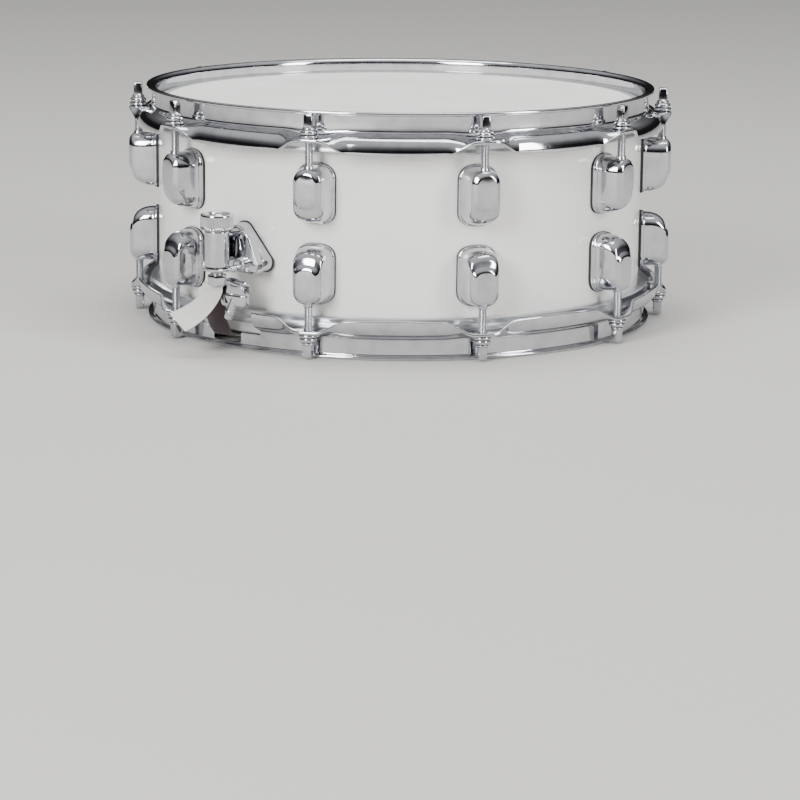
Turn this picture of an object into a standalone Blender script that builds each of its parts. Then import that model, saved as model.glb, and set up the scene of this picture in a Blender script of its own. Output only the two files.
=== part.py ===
"""Snare drum, 14 inch shell with ten lugs a side, triple flanged hoops, side-throw strainer and butt plate.

Metres, +Z up. The origin is the centre of the snare-side rim's resting plane. Azimuth 0 is the front (-Y).
"""
import math

import bmesh
import bpy
from mathutils import Matrix

# Driving dimensions, metres
TOTAL_HEIGHT = 0.1692
MID = TOTAL_HEIGHT / 2
SHELL_RADIUS = 0.1765
SHELL_WALL = 0.007
SHELL_HALF_DEPTH = 0.074
SEGMENTS = 60
CLEARANCE = 0.0003

FILM = 0.0005
COLLAR_RADIUS = SHELL_RADIUS + CLEARANCE + FILM
HEAD_TOP = SHELL_HALF_DEPTH + CLEARANCE + FILM
COLLAR_BOTTOM = 0.0572

FLESH_INNER = COLLAR_RADIUS + CLEARANCE
FLESH_OUTER = 0.1828
FLESH_TOP = 0.0652
FLESH_BOTTOM = 0.0564

HOOP_SHEET = 0.0023
HOOP_WALL_RADIUS = 0.18005
LIP_RADIUS = 0.1844
EAR_RADIUS = 0.1974
EAR_HEIGHT = 0.06565
SKIRT_RADIUS = 0.1910
SKIRT_BOTTOM = 0.0564
ROD_HOLE = 0.0037

ROD_COUNT = 10
ROD_CIRCLE = 0.1917
ROD_RADIUS = 0.0028
ROD_HEAD = 0.0064
ROD_END = 0.0300
ROD_TOP = 0.0836

LUG_WIDTH = 0.029
LUG_FACE_WIDTH = 0.0185
LUG_TOP = 0.0459
LUG_LOW = 0.0085
LUG_REACH = 0.0213
LUG_BORE = 0.0035

STRAINER_AZIMUTH = math.radians(-36)
BUTT_AZIMUTH = math.radians(144)
VENT_AZIMUTH = math.radians(180)
BARREL_AXIS = 0.208
BARREL_RADIUS = 0.0085
KNOB_RADIUS = 0.0114
STRAP_WIDTH = 0.018
STRAP_SHEET = 0.0006
GATE_DEPTH = 0.0740

for old in list(bpy.data.objects):
    bpy.data.objects.remove(old, do_unlink=True)

drum = bpy.data.collections.new("snare_drum")
bpy.context.scene.collection.children.link(drum)
cutters = bpy.data.collections.new("cutters")
bpy.context.scene.collection.children.link(cutters)


def material(name, colour, roughness, metallic):
    mat = bpy.data.materials.new(name)
    mat.use_nodes = True
    shader = mat.node_tree.nodes["Principled BSDF"]
    shader.inputs["Base Color"].default_value = (*colour, 1)
    shader.inputs["Roughness"].default_value = roughness
    shader.inputs["Metallic"].default_value = metallic
    return mat


LACQUER = ((0.86, 0.86, 0.85), 0.25, 0.0)
CHROME = ((0.80, 0.81, 0.83), 0.12, 1.0)
STEEL = ((0.55, 0.56, 0.58), 0.30, 1.0)
COATED_FILM = ((0.90, 0.90, 0.88), 0.60, 0.0)
CLEAR_FILM = ((0.80, 0.82, 0.83), 0.20, 0.0)
ALUMINIUM = ((0.70, 0.71, 0.72), 0.35, 1.0)
RIBBON = ((0.88, 0.88, 0.86), 0.80, 0.0)


def add_object(name, mesh, look, collection=drum):
    obj = bpy.data.objects.new(name, mesh)
    collection.objects.link(obj)
    if collection is cutters:
        obj.hide_render = True
        obj.display_type = "WIRE"
    elif look:
        obj.data.materials.clear()
        obj.data.materials.append(material(name, *look))
    return obj


def mesh_from(bm, name, smooth=True):
    bmesh.ops.recalc_face_normals(bm, faces=bm.faces)
    mesh = bpy.data.meshes.new(name)
    bm.to_mesh(mesh)
    bm.free()
    if smooth:
        mesh.shade_smooth()
        mesh.set_sharp_from_angle(angle=math.radians(35))
    return mesh


def turned(name, profile, look, closed=True, segments=SEGMENTS, collection=drum):
    """A profile of (radius, height) points, outer side first from top to bottom, spun about Z."""
    mesh = bpy.data.meshes.new(name)
    edges = [(i, i + 1) for i in range(len(profile) - 1)]
    if closed:
        edges.append((len(profile) - 1, 0))
    mesh.from_pydata([(r, 0, z) for r, z in profile], edges, [])
    obj = add_object(name, mesh, look, collection)
    screw = obj.modifiers.new("Screw", "SCREW")
    screw.axis = "Z"
    screw.steps = segments
    screw.render_steps = segments
    screw.use_merge_vertices = True
    screw.merge_threshold = 0.00001
    screw.use_smooth_shade = True
    return obj


def box_mesh(name, size, centre=(0, 0, 0)):
    bm = bmesh.new()
    bmesh.ops.create_cube(bm, size=1)
    bmesh.ops.scale(bm, vec=size, verts=bm.verts)
    bmesh.ops.translate(bm, vec=centre, verts=bm.verts)
    return mesh_from(bm, name, smooth=False)


def plate(name, outline, depth, look, bevel=0.0, holes=(), collection=drum):
    """A flat outline in the local XZ plane, given depth along Y, its middle at Y = 0."""
    curve = bpy.data.curves.new(name, "CURVE")
    curve.dimensions = "2D"
    curve.fill_mode = "BOTH"
    curve.extrude = depth / 2
    for ring in (outline, *holes):
        spline = curve.splines.new("POLY")
        spline.points.add(len(ring) - 1)
        for point, (x, z) in zip(spline.points, ring):
            point.co = (x, z, 0, 1)
        spline.use_cyclic_u = True
    holder = bpy.data.objects.new(name + "_outline", curve)
    drum.objects.link(holder)
    bpy.context.view_layer.update()
    evaluated = holder.evaluated_get(bpy.context.evaluated_depsgraph_get())
    flat = bpy.data.meshes.new_from_object(evaluated)
    bpy.data.objects.remove(holder, do_unlink=True)
    bm = bmesh.new()
    bm.from_mesh(flat)
    bpy.data.meshes.remove(flat)
    bmesh.ops.remove_doubles(bm, verts=bm.verts, dist=0.00001)
    bmesh.ops.rotate(bm, cent=(0, 0, 0), matrix=turn_x(math.pi / 2), verts=bm.verts)
    obj = add_object(name, mesh_from(bm, name), look, collection)
    if bevel:
        soften(obj, bevel)
    return obj


def turn_x(angle):
    return Matrix.Rotation(angle, 3, "X")


def soften(obj, width, segments=1, angle=40):
    bevel = obj.modifiers.new("Bevel", "BEVEL")
    bevel.width = width
    bevel.segments = segments
    bevel.limit_method = "ANGLE"
    bevel.angle_limit = math.radians(angle)
    return bevel


def boolean(obj, other, operation="DIFFERENCE"):
    cut = obj.modifiers.new(operation.title(), "BOOLEAN")
    cut.operation = operation
    cut.object = other
    return cut


def rod_azimuths():
    step = 2 * math.pi / ROD_COUNT
    return [step * (i - 0.5) for i in range(ROD_COUNT)]


def around(obj, azimuth, radius, height, flip=False):
    """Place an object at an azimuth of the drum, its local -Y facing outwards."""
    obj.location = (radius * math.sin(azimuth), -radius * math.cos(azimuth), height)
    obj.rotation_euler = (0, math.pi if flip else 0, azimuth)


# Shell: straight wall, 45 degree bearing edges with a small outer round-over
inner = SHELL_RADIUS - SHELL_WALL
half = SHELL_HALF_DEPTH
shell_profile = [
    (SHELL_RADIUS - 0.0010, half),
    (SHELL_RADIUS, half - 0.0010),
    (SHELL_RADIUS, -half + 0.0010),
    (SHELL_RADIUS - 0.0010, -half),
    (inner, -half + SHELL_WALL - 0.0010),
    (inner, half - SHELL_WALL + 0.0010),
]
shell = turned("shell", shell_profile, LACQUER)
shell.location.z = MID

# Snare beds: two shallow dips in the snare-side edge, under the strainer and the butt plate
bed_radius = 0.55
bm = bmesh.new()
bmesh.ops.create_cone(bm, cap_ends=True, segments=96, radius1=bed_radius, radius2=bed_radius, depth=0.40)
bed_cutter = add_object("snare_bed_cutter", mesh_from(bm, "snare_bed_cutter"), None, cutters)
bed_cutter.rotation_euler = (math.pi / 2, 0, STRAINER_AZIMUTH)
bed_cutter.location.z = MID - half + 0.0015 - bed_radius
boolean(shell, bed_cutter)

# Air vent: a plain hole through the shell wall
bm = bmesh.new()
bmesh.ops.create_cone(bm, cap_ends=True, segments=16, radius1=0.0064, radius2=0.0064, depth=0.03)
vent_cutter = add_object("vent_cutter", mesh_from(bm, "vent_cutter"), None, cutters)
around(vent_cutter, VENT_AZIMUTH, SHELL_RADIUS, MID)
vent_cutter.rotation_euler = (math.pi / 2, 0, VENT_AZIMUTH)
boolean(shell, vent_cutter)

# Heads: a film stretched over the bearing edge, and its collar bent down and glued into a flesh hoop.
# Film and collar are one sheet in the real head; they are two nodes here, with a hairline between them.
HAIRLINE = 0.00002
for side, label in ((1, "batter"), (-1, "snare")):
    look = COATED_FILM if side > 0 else CLEAR_FILM
    film_profile = [
        (0.0, HEAD_TOP),
        (SHELL_RADIUS - 0.0005, HEAD_TOP),
        (SHELL_RADIUS - 0.0007, HEAD_TOP - FILM),
        (0.0, HEAD_TOP - FILM),
    ]
    head = turned(label + "_head", film_profile, look, closed=False)
    head.location.z = MID
    head.rotation_euler.x = 0 if side > 0 else math.pi
    collar_profile = [
        (SHELL_RADIUS - 0.0005 + HAIRLINE, HEAD_TOP),
        (COLLAR_RADIUS, HEAD_TOP - 0.0013),
        (COLLAR_RADIUS, COLLAR_BOTTOM),
        (COLLAR_RADIUS - FILM, COLLAR_BOTTOM),
        (COLLAR_RADIUS - FILM, HEAD_TOP - 0.0015),
        (SHELL_RADIUS - 0.0007 + HAIRLINE, HEAD_TOP - FILM),
    ]
    collar = turned(label + "_head_collar", collar_profile, CLEAR_FILM)
    collar.location.z = MID
    collar.rotation_euler.x = 0 if side > 0 else math.pi
    ring_profile = [
        (FLESH_OUTER, FLESH_TOP - 0.0006),
        (FLESH_OUTER, FLESH_BOTTOM),
        (FLESH_INNER, FLESH_BOTTOM),
        (FLESH_INNER, FLESH_TOP),
        (FLESH_OUTER - 0.0006, FLESH_TOP),
    ]
    ring = turned(label + "_flesh_hoop", ring_profile, ALUMINIUM)
    ring.location.z = MID
    ring.rotation_euler.x = 0 if side > 0 else math.pi


# Hoops: lip, wall and skirt swept round, the skirt lifting into a flat ear at every rod
def smoothstep(value):
    value = min(1.0, max(0.0, value))
    return value * value * (3 - 2 * value)


def mix(a, b, share):
    return a + (b - a) * share


def hoop_section(azimuth):
    """Sheet mid-line at an azimuth, as (radius, height above mid-height) from the lip to the edge."""
    nearest = min(abs(math.remainder(azimuth - rod, 2 * math.pi)) for rod in rod_azimuths())
    arc = nearest * SKIRT_RADIUS
    ear = 1 - smoothstep((arc - 0.006) / 0.020)
    belly = smoothstep((arc - 0.016) / 0.045)
    skirt_low = SKIRT_BOTTOM + 0.0012 * (1 - belly)
    lip = MID - HOOP_SHEET / 2
    return [
        (LIP_RADIUS, lip),
        (HOOP_WALL_RADIUS, lip),
        (HOOP_WALL_RADIUS, mix(0.0698, 0.0690, ear)),
        (mix(0.1863, 0.1852, ear), mix(0.0669, EAR_HEIGHT, ear)),
        (mix(0.1896, 0.1915, ear), mix(0.0638, EAR_HEIGHT, ear)),
        (mix(SKIRT_RADIUS, EAR_RADIUS, ear), mix(skirt_low, EAR_HEIGHT, ear)),
    ]


def hoop_mesh(name):
    offsets = [math.radians(a) for a in (-12.5, -8.2, -5.2, -2.2, 2.2, 5.2, 8.2, 12.5, 18)]
    stations = sorted(rod + a for rod in rod_azimuths() for a in offsets)
    bm = bmesh.new()
    rows = []
    for azimuth in stations:
        row = []
        for radius, height in hoop_section(azimuth):
            row.append(bm.verts.new((radius * math.sin(azimuth), -radius * math.cos(azimuth), height)))
        rows.append(row)
    for row, following in zip(rows, rows[1:] + rows[:1]):
        for k in range(len(row) - 1):
            bm.faces.new((row[k], row[k + 1], following[k + 1], following[k]))
    return mesh_from(bm, name)


hole_bm = bmesh.new()
for azimuth in rod_azimuths():
    made = bmesh.ops.create_cone(hole_bm, cap_ends=True, segments=10, radius1=ROD_HOLE, radius2=ROD_HOLE, depth=0.012)
    spot = (ROD_CIRCLE * math.sin(azimuth), -ROD_CIRCLE * math.cos(azimuth), EAR_HEIGHT)
    bmesh.ops.translate(hole_bm, vec=spot, verts=made["verts"])
hole_mesh = mesh_from(hole_bm, "rod_hole_cutter")

for side, label in ((1, "batter"), (-1, "snare")):
    hoop = add_object(label + "_hoop", hoop_mesh(label + "_hoop"), CHROME)
    hoop.location.z = MID
    hoop.rotation_euler.x = 0 if side > 0 else math.pi
    sheet = hoop.modifiers.new("Solidify", "SOLIDIFY")
    sheet.thickness = HOOP_SHEET
    sheet.offset = 0
    sheet.use_even_offset = True
    holes = add_object(label + "_rod_hole_cutter", hole_mesh, None, cutters)
    holes.location.z = MID
    holes.rotation_euler.x = hoop.rotation_euler.x
    boolean(hoop, holes)

# Snare gates: notches through the skirt and wall of the snare-side hoop, deeper where the strap enters
snare_hoop = bpy.data.objects["snare_hoop"]
gate_cuts = (
    (STRAINER_AZIMUTH, -0.0095, 0.051, 0.050, GATE_DEPTH),
    (STRAINER_AZIMUTH, -0.0140, 0.026, 0.070, 0.0812),
    (BUTT_AZIMUTH, 0.0, 0.050, 0.050, GATE_DEPTH),
    (BUTT_AZIMUTH, 0.0, 0.026, 0.070, 0.0812),
)
for index, (azimuth, across, width, top, bottom) in enumerate(gate_cuts):
    size = (width, 0.030, bottom - top)
    centre = (across, -0.186, -(top + bottom) / 2)
    notch = add_object(f"gate_cutter_{index + 1}", box_mesh("gate_cutter", size, centre), None, cutters)
    notch.location.z = MID
    notch.rotation_euler.z = azimuth
    boolean(snare_hoop, notch)


# Lugs: a loft from the wide base on the shell to the narrow bevelled face, domed away from the rod
def lug_ring(bm, depth, half_width, low, high, dome):
    """One rounded outline in the XZ plane at a distance out from the shell."""
    corner = half_width * 0.42
    centre_low = low + dome
    points = [
        (half_width, centre_low + corner),
        (half_width, high - corner),
        (half_width - corner * 0.30, high - corner * 0.30),
        (half_width - corner, high),
        (-half_width + corner, high),
        (-half_width + corner * 0.30, high - corner * 0.30),
        (-half_width, high - corner),
        (-half_width, centre_low + corner),
        (-half_width * 0.80, centre_low + corner * 0.10),
        (-half_width * 0.36, low),
        (half_width * 0.36, low),
        (half_width * 0.80, centre_low + corner * 0.10),
    ]
    return [bm.verts.new((x, -depth, z)) for x, z in points]


bm = bmesh.new()
half_base = LUG_WIDTH / 2
half_face = LUG_FACE_WIDTH / 2
sections = (
    (0.0000, half_base, LUG_LOW - 0.0020, LUG_TOP + 0.0034, 0.0045),
    (0.0024, half_base, LUG_LOW - 0.0020, LUG_TOP + 0.0034, 0.0045),
    (0.0110, half_base - 0.0026, LUG_LOW + 0.0010, LUG_TOP + 0.0010, 0.0035),
    (0.0192, half_face, LUG_LOW + 0.0075, LUG_TOP, 0.0025),
    (LUG_REACH, half_face - 0.0021, LUG_LOW + 0.0110, LUG_TOP - 0.0022, 0.0015),
)
rings = [lug_ring(bm, *section) for section in sections]
for lower, upper in zip(rings, rings[1:]):
    for k in range(len(lower)):
        following = (k + 1) % len(lower)
        bm.faces.new((lower[k], lower[following], upper[following], upper[k]))
bm.faces.new(rings[0])
bm.faces.new(rings[-1])
lug_mesh = mesh_from(bm, "lug_casing")

lug_seat = SHELL_RADIUS + CLEARANCE
bm = bmesh.new()
bmesh.ops.create_cone(bm, cap_ends=True, segments=8, radius1=LUG_BORE, radius2=LUG_BORE, depth=0.034)
bmesh.ops.translate(bm, vec=(0, -(ROD_CIRCLE - lug_seat), LUG_TOP), verts=bm.verts)
lug_bore = add_object("lug_bore_cutter", mesh_from(bm, "lug_bore_cutter"), None, cutters)
bored = add_object("lug_bored", lug_mesh, None)
boolean(bored, lug_bore)
bpy.context.view_layer.update()
lug_mesh = bpy.data.meshes.new_from_object(bored.evaluated_get(bpy.context.evaluated_depsgraph_get()))
lug_mesh.name = "lug_casing"
bpy.data.objects.remove(bored, do_unlink=True)

# Tension rods: square head, collar, two washers and shank; the origin is on the rod's axis
rod_profile = [
    (0.0, 0.0790),
    (0.0044, 0.0790),
    (0.0044, 0.0746),
    (0.0060, 0.0740),
    (0.0062, 0.0672),
    (ROD_RADIUS, 0.0672),
    (ROD_RADIUS, ROD_END),
    (0.0, ROD_END),
]
rod_shape = turned("rod_shape", rod_profile, None, closed=False, segments=8)
head_height = ROD_TOP - 0.0785
square = box_mesh("rod_square", (ROD_HEAD, ROD_HEAD, head_height), (0, 0, ROD_TOP - head_height / 2))
square_object = add_object("rod_square_piece", square, None, cutters)
boolean(rod_shape, square_object, "UNION")
bpy.context.view_layer.update()
rod_mesh = bpy.data.meshes.new_from_object(rod_shape.evaluated_get(bpy.context.evaluated_depsgraph_get()))
rod_mesh.name = "tension_rod"
bpy.data.objects.remove(rod_shape, do_unlink=True)

for side, label in ((1, "batter"), (-1, "snare")):
    for index, azimuth in enumerate(rod_azimuths()):
        number = f"{index + 1:02d}"
        lug = add_object(f"lug_{label}_{number}", lug_mesh.copy(), CHROME)
        around(lug, azimuth, lug_seat, MID, flip=side < 0)
        rod = add_object(f"rod_{label}_{number}", rod_mesh.copy(), CHROME)
        around(rod, azimuth, ROD_CIRCLE, MID, flip=side < 0)


# Strainer: everything in a frame turned to its azimuth, local +X across, local -Y outwards
strainer_place = bpy.data.objects.new("strainer_place", None)
strainer_place.location.z = MID
strainer_place.rotation_euler.z = STRAINER_AZIMUTH
drum.objects.link(strainer_place)
butt_place = bpy.data.objects.new("butt_place", None)
butt_place.location.z = MID
butt_place.rotation_euler.z = BUTT_AZIMUTH
drum.objects.link(butt_place)


def arc_points(cx, cz, radius, start, end, count):
    angles = [math.radians(start + (end - start) * i / (count - 1)) for i in range(count)]
    return [(cx + radius * math.cos(a), cz + radius * math.sin(a)) for a in angles]


# Base casting: a rounded triangle, its apex up
base_depth = 0.0105
base_outline = (
    arc_points(0.0175, -0.0225, 0.0065, -90, 30, 5)
    + arc_points(-0.0005, -0.0040, 0.0080, 35, 145, 5)
    + arc_points(-0.0185, -0.0225, 0.0065, 150, 270, 5)
)
strainer_base = plate("strainer_base", base_outline, base_depth, CHROME, bevel=0.0012)
strainer_base.parent = strainer_place
strainer_base.location = (0, -(lug_seat + base_depth / 2), 0)

# Lever: a wing that stands up on its pivot boss and swings sideways; the origin is on the boss's axis
pivot_x = 0.0105
pivot_z = -0.0228
lever_depth = 0.0066
lever_inner = lug_seat + base_depth + CLEARANCE
lever_outline = (
    arc_points(0.0000, 0.0170, 0.0062, 10, 180, 6)
    + arc_points(-0.0006, 0.0000, 0.0064, 180, 270, 4)
    + arc_points(0.0080, -0.0010, 0.0054, -90, 35, 4)
)
lever = plate("strainer_lever", lever_outline, lever_depth, CHROME, bevel=0.0010)
lever.parent = strainer_place
lever.location = (pivot_x, -(lever_inner + lever_depth / 2), pivot_z)
bm = bmesh.new()
bmesh.ops.create_cone(bm, cap_ends=True, segments=16, radius1=0.0048, radius2=0.0042, depth=0.0060)
bmesh.ops.rotate(bm, cent=(0, 0, 0), matrix=turn_x(math.pi / 2), verts=bm.verts)
boss = add_object("lever_boss_piece", mesh_from(bm, "lever_boss_piece"), None, cutters)
boss.parent = strainer_place
boss.location = (pivot_x, -(lever_inner + lever_depth + 0.0010), pivot_z)
boolean(lever, boss, "UNION")

# Carriage: barrel with a bored foot, yoke with two ball ends, and the post that rides on the base
barrel_top = 0.0016
barrel_low = -0.0238
yoke_low = -0.0260
carriage_profile = [
    (BARREL_RADIUS, barrel_top),
    (BARREL_RADIUS, barrel_low),
    (0.0102, barrel_low - 0.0003),
    (0.0102, yoke_low),
    (0.0050, yoke_low),
    (0.0050, -0.0090),
    (0.0, -0.0090),
]
carriage_profile = [(0.0, barrel_top)] + carriage_profile
carriage = turned("strainer_carriage", carriage_profile, CHROME, closed=False, segments=16)
carriage.parent = strainer_place
carriage.location = (0, -BARREL_AXIS, 0)
post_inner = lever_inner
post_outer = BARREL_AXIS - BARREL_RADIUS + 0.0025
post_mesh = box_mesh("post_piece", (0.0090, post_outer - post_inner, 0.0190), (-0.0035, 0, -0.0120))
post = add_object("carriage_post_piece", post_mesh, None, cutters)
post.parent = strainer_place
post.location = (0, -(post_inner + post_outer) / 2, 0)
boolean(carriage, post, "UNION")
for side in (-1, 1):
    bm = bmesh.new()
    bmesh.ops.create_uvsphere(bm, u_segments=8, v_segments=6, radius=0.0023)
    bmesh.ops.translate(bm, vec=(side * 0.0130, 0, 0), verts=bm.verts)
    ball = add_object(f"yoke_ball_piece_{side + 2}", mesh_from(bm, "yoke_ball_piece"), None, cutters)
    ball.parent = strainer_place
    ball.location = (0, -0.2060, -0.0238)
    boolean(carriage, ball, "UNION")
    bm = bmesh.new()
    bmesh.ops.create_cone(bm, cap_ends=True, segments=8, radius1=0.0013, radius2=0.0013, depth=0.0070)
    bmesh.ops.rotate(bm, cent=(0, 0, 0), matrix=turn_x(math.pi / 2), verts=bm.verts)
    stub = add_object(f"yoke_pin_piece_{side + 2}", mesh_from(bm, "yoke_pin_piece"), None, cutters)
    stub.parent = strainer_place
    stub.rotation_euler.z = math.pi / 2
    stub.location = (side * 0.0095, -0.2060, -0.0240)
    boolean(carriage, stub, "UNION")

# Knob: turned cap on the barrel's axis
knob_profile = [
    (0.0, 0.0126),
    (KNOB_RADIUS - 0.0012, 0.0132),
    (KNOB_RADIUS, 0.0122),
    (KNOB_RADIUS, 0.0026),
    (KNOB_RADIUS - 0.0006, barrel_top + CLEARANCE),
    (0.0, barrel_top + CLEARANCE),
]
knob = turned("strainer_knob", knob_profile, CHROME, closed=False, segments=20)
knob.parent = strainer_place
knob.location = (0, -BARREL_AXIS, 0)

# Spindle: round neck that runs up into the barrel, with a hexagonal block below
hex_top = -0.0289
hex_low = -0.0362
spindle_profile = [
    (0.0, -0.0125),
    (0.0045, -0.0125),
    (0.0045, hex_top - 0.0010),
    (0.0, hex_top - 0.0010),
]
spindle = turned("strainer_spindle", spindle_profile, STEEL, closed=False, segments=12)
spindle.parent = strainer_place
spindle.location = (0, -BARREL_AXIS, 0)
bm = bmesh.new()
hex_round = 0.0060 / math.cos(math.pi / 6)
bmesh.ops.create_cone(bm, cap_ends=True, segments=6, radius1=hex_round, radius2=hex_round, depth=hex_top - hex_low)
hexagon = add_object("hex_block_piece", mesh_from(bm, "hex_block_piece", smooth=False), None, cutters)
hexagon.parent = strainer_place
hexagon.location = (0, -BARREL_AXIS, (hex_top + hex_low) / 2)
boolean(spindle, hexagon, "UNION")

# Strap clamp: arm beside the block, bar that the strap folds over, and the block with its drum-key screw
bar_top = hex_low - 0.0012
bar_low = bar_top - 0.0040
clamp_outline = [
    (-0.0100, bar_top),
    (0.0072, bar_top),
    (0.0072, -0.0318),
    (0.0110, -0.0312),
    (0.0200, -0.0352),
    (0.0222, -0.0376),
    (0.0222, -0.0500),
    (0.0020, -0.0520),
    (0.0020, bar_low),
    (-0.0100, bar_low),
]
clamp = plate("strap_clamp", clamp_outline, 0.0036, STEEL)
clamp.parent = strainer_place
clamp.location = (0, -0.2055, 0)
bm = bmesh.new()
bmesh.ops.create_cube(bm, size=1)
bmesh.ops.scale(bm, vec=(0.0186, 0.0074, 0.0100), verts=bm.verts)
block = add_object("clamp_block_piece", mesh_from(bm, "clamp_block_piece", smooth=False), None, cutters)
block.parent = strainer_place
block.location = (0.0134, -0.2035, -0.0460)
boolean(clamp, block, "UNION")
bm = bmesh.new()
bmesh.ops.create_cone(bm, cap_ends=True, segments=10, radius1=0.0036, radius2=0.0036, depth=0.0160)
screw = add_object("clamp_screw_piece", mesh_from(bm, "clamp_screw_piece"), None, cutters)
screw.parent = strainer_place
screw.rotation_euler = (0, math.radians(24), 0)
screw.location = (0.0100, -0.2045, -0.0520)
boolean(clamp, screw, "UNION")


# Straps: woven ribbon, each station is a point and the direction of the ribbon's width
def ribbon(name, stations, look):
    bm = bmesh.new()
    rows = []
    for x, radius, z, across, rise in stations:
        length = math.hypot(across, rise)
        dx = STRAP_WIDTH / 2 * across / length
        dz = STRAP_WIDTH / 2 * rise / length
        left = bm.verts.new((x - dx, -radius, z - dz))
        right = bm.verts.new((x + dx, -radius, z + dz))
        rows.append((left, right))
    for (a, b), (c, d) in zip(rows, rows[1:]):
        bm.faces.new((a, b, d, c))
    obj = add_object(name, mesh_from(bm, name), look)
    sheet = obj.modifiers.new("Solidify", "SOLIDIFY")
    sheet.thickness = STRAP_SHEET
    sheet.offset = 0
    sheet.use_even_offset = True
    return obj


wire_top = -(HEAD_TOP + 0.0004)
wire_low = wire_top - 0.0018
plate_level = wire_low - CLEARANCE - STRAP_SHEET / 2
bar_back = 0.2055 - 0.0018 - 0.0008
bar_front = 0.2055 + 0.0018 + 0.0008
strap_route = [
    (0.0, 0.1330, plate_level, 1, 0),
    (-0.0060, 0.1600, plate_level, 1, 0.0),
    (-0.0120, 0.1780, plate_level, 1, 0.0),
    (-0.0135, 0.1850, -0.0752, 1, 0.0),
    (-0.0120, 0.1935, -0.0650, 1, 0.0),
    (-0.0090, 0.1990, -0.0540, 1, 0.0),
    (-0.0060, bar_back, bar_low - 0.0010, 1, 0.0),
    (-0.0040, bar_back, bar_top + 0.0002, 1, 0.0),
    (-0.0038, 0.2055, bar_top + 0.0007, 1, 0.0),
    (-0.0036, bar_front, bar_top + 0.0002, 1, 0.0),
    (-0.0040, bar_front, bar_low, 1, 0.0),
    (-0.0056, 0.2118, -0.0470, 1, -0.12),
    (-0.0090, 0.2180, -0.0530, 1, -0.34),
    (-0.0135, 0.2262, -0.0580, 1, -0.58),
    (-0.0178, 0.2330, -0.0612, 1, -0.74),
]
strainer_strap = ribbon("strap_strainer", strap_route, RIBBON)
strainer_strap.parent = strainer_place

# Snare wires: twenty strands between two end plates, spaced like a comb
strand_count = 20
strand_pitch = 0.00225
strand_width = 0.0017
wire_half = 0.130
end_plate = 0.016
half_span = strand_pitch * strand_count / 2
wire_outline = [
    (-half_span, -wire_half),
    (half_span, -wire_half),
    (half_span, wire_half),
    (-half_span, wire_half),
]
slots = []
for index in range(1, strand_count):
    x = -half_span + index * strand_pitch
    gap = (strand_pitch - strand_width) / 2
    slots.append([
        (x - gap, -wire_half + end_plate),
        (x - gap, wire_half - end_plate),
        (x + gap, wire_half - end_plate),
        (x + gap, -wire_half + end_plate),
    ])
wires = plate("snare_wires", wire_outline, wire_top - wire_low, STEEL, holes=slots)
wires.rotation_euler = (math.pi / 2, 0, STRAINER_AZIMUTH)
wires.location.z = MID + (wire_top + wire_low) / 2

# Butt plate: fixed anchor opposite the strainer, with a bar that clamps the strap
butt_outline = (
    arc_points(0.0160, -0.0500, 0.0040, -90, 0, 3)
    + arc_points(0.0140, -0.0250, 0.0060, 0, 90, 4)
    + arc_points(-0.0140, -0.0250, 0.0060, 90, 180, 4)
    + arc_points(-0.0160, -0.0500, 0.0040, 180, 270, 3)
)
butt_depth = 0.0125
butt = plate("butt_plate", butt_outline, butt_depth, CHROME, bevel=0.0014)
butt.parent = butt_place
butt.location = (0, -(lug_seat + butt_depth / 2), 0)
butt_face = lug_seat + butt_depth
bar = add_object("butt_clamp", box_mesh("butt_clamp", (0.0340, 0.0044, 0.0100)), CHROME)
bar.parent = butt_place
bar.location = (0, -(butt_face + 0.0014 + 0.0022), -0.0440)
soften(bar, 0.0008)
for side in (-1, 1):
    bm = bmesh.new()
    bmesh.ops.create_cone(bm, cap_ends=True, segments=10, radius1=0.0032, radius2=0.0032, depth=0.0060)
    bmesh.ops.rotate(bm, cent=(0, 0, 0), matrix=turn_x(math.pi / 2), verts=bm.verts)
    head_piece = add_object(f"butt_screw_piece_{side + 2}", mesh_from(bm, "butt_screw_piece"), None, cutters)
    head_piece.parent = butt_place
    head_piece.location = (side * 0.0128, -(butt_face + 0.0014 + 0.0044), -0.0440)
    boolean(bar, head_piece, "UNION")

strap_level = butt_face + 0.0007
butt_route = [
    (0.0, 0.1330, plate_level, 1, 0),
    (0.0, 0.1780, plate_level, 1, 0),
    (0.0, 0.1845, -0.0752, 1, 0),
    (0.0, 0.1885, -0.0640, 1, 0),
    (0.0, strap_level + 0.0006, -0.0540, 1, 0),
    (0.0, strap_level, -0.0500, 1, 0),
    (0.0, strap_level, -0.0360, 1, 0),
]
butt_strap = ribbon("strap_butt", butt_route, RIBBON)
butt_strap.parent = butt_place
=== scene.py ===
import bpy
import bmesh
import math
from mathutils import Matrix, Vector


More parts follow.
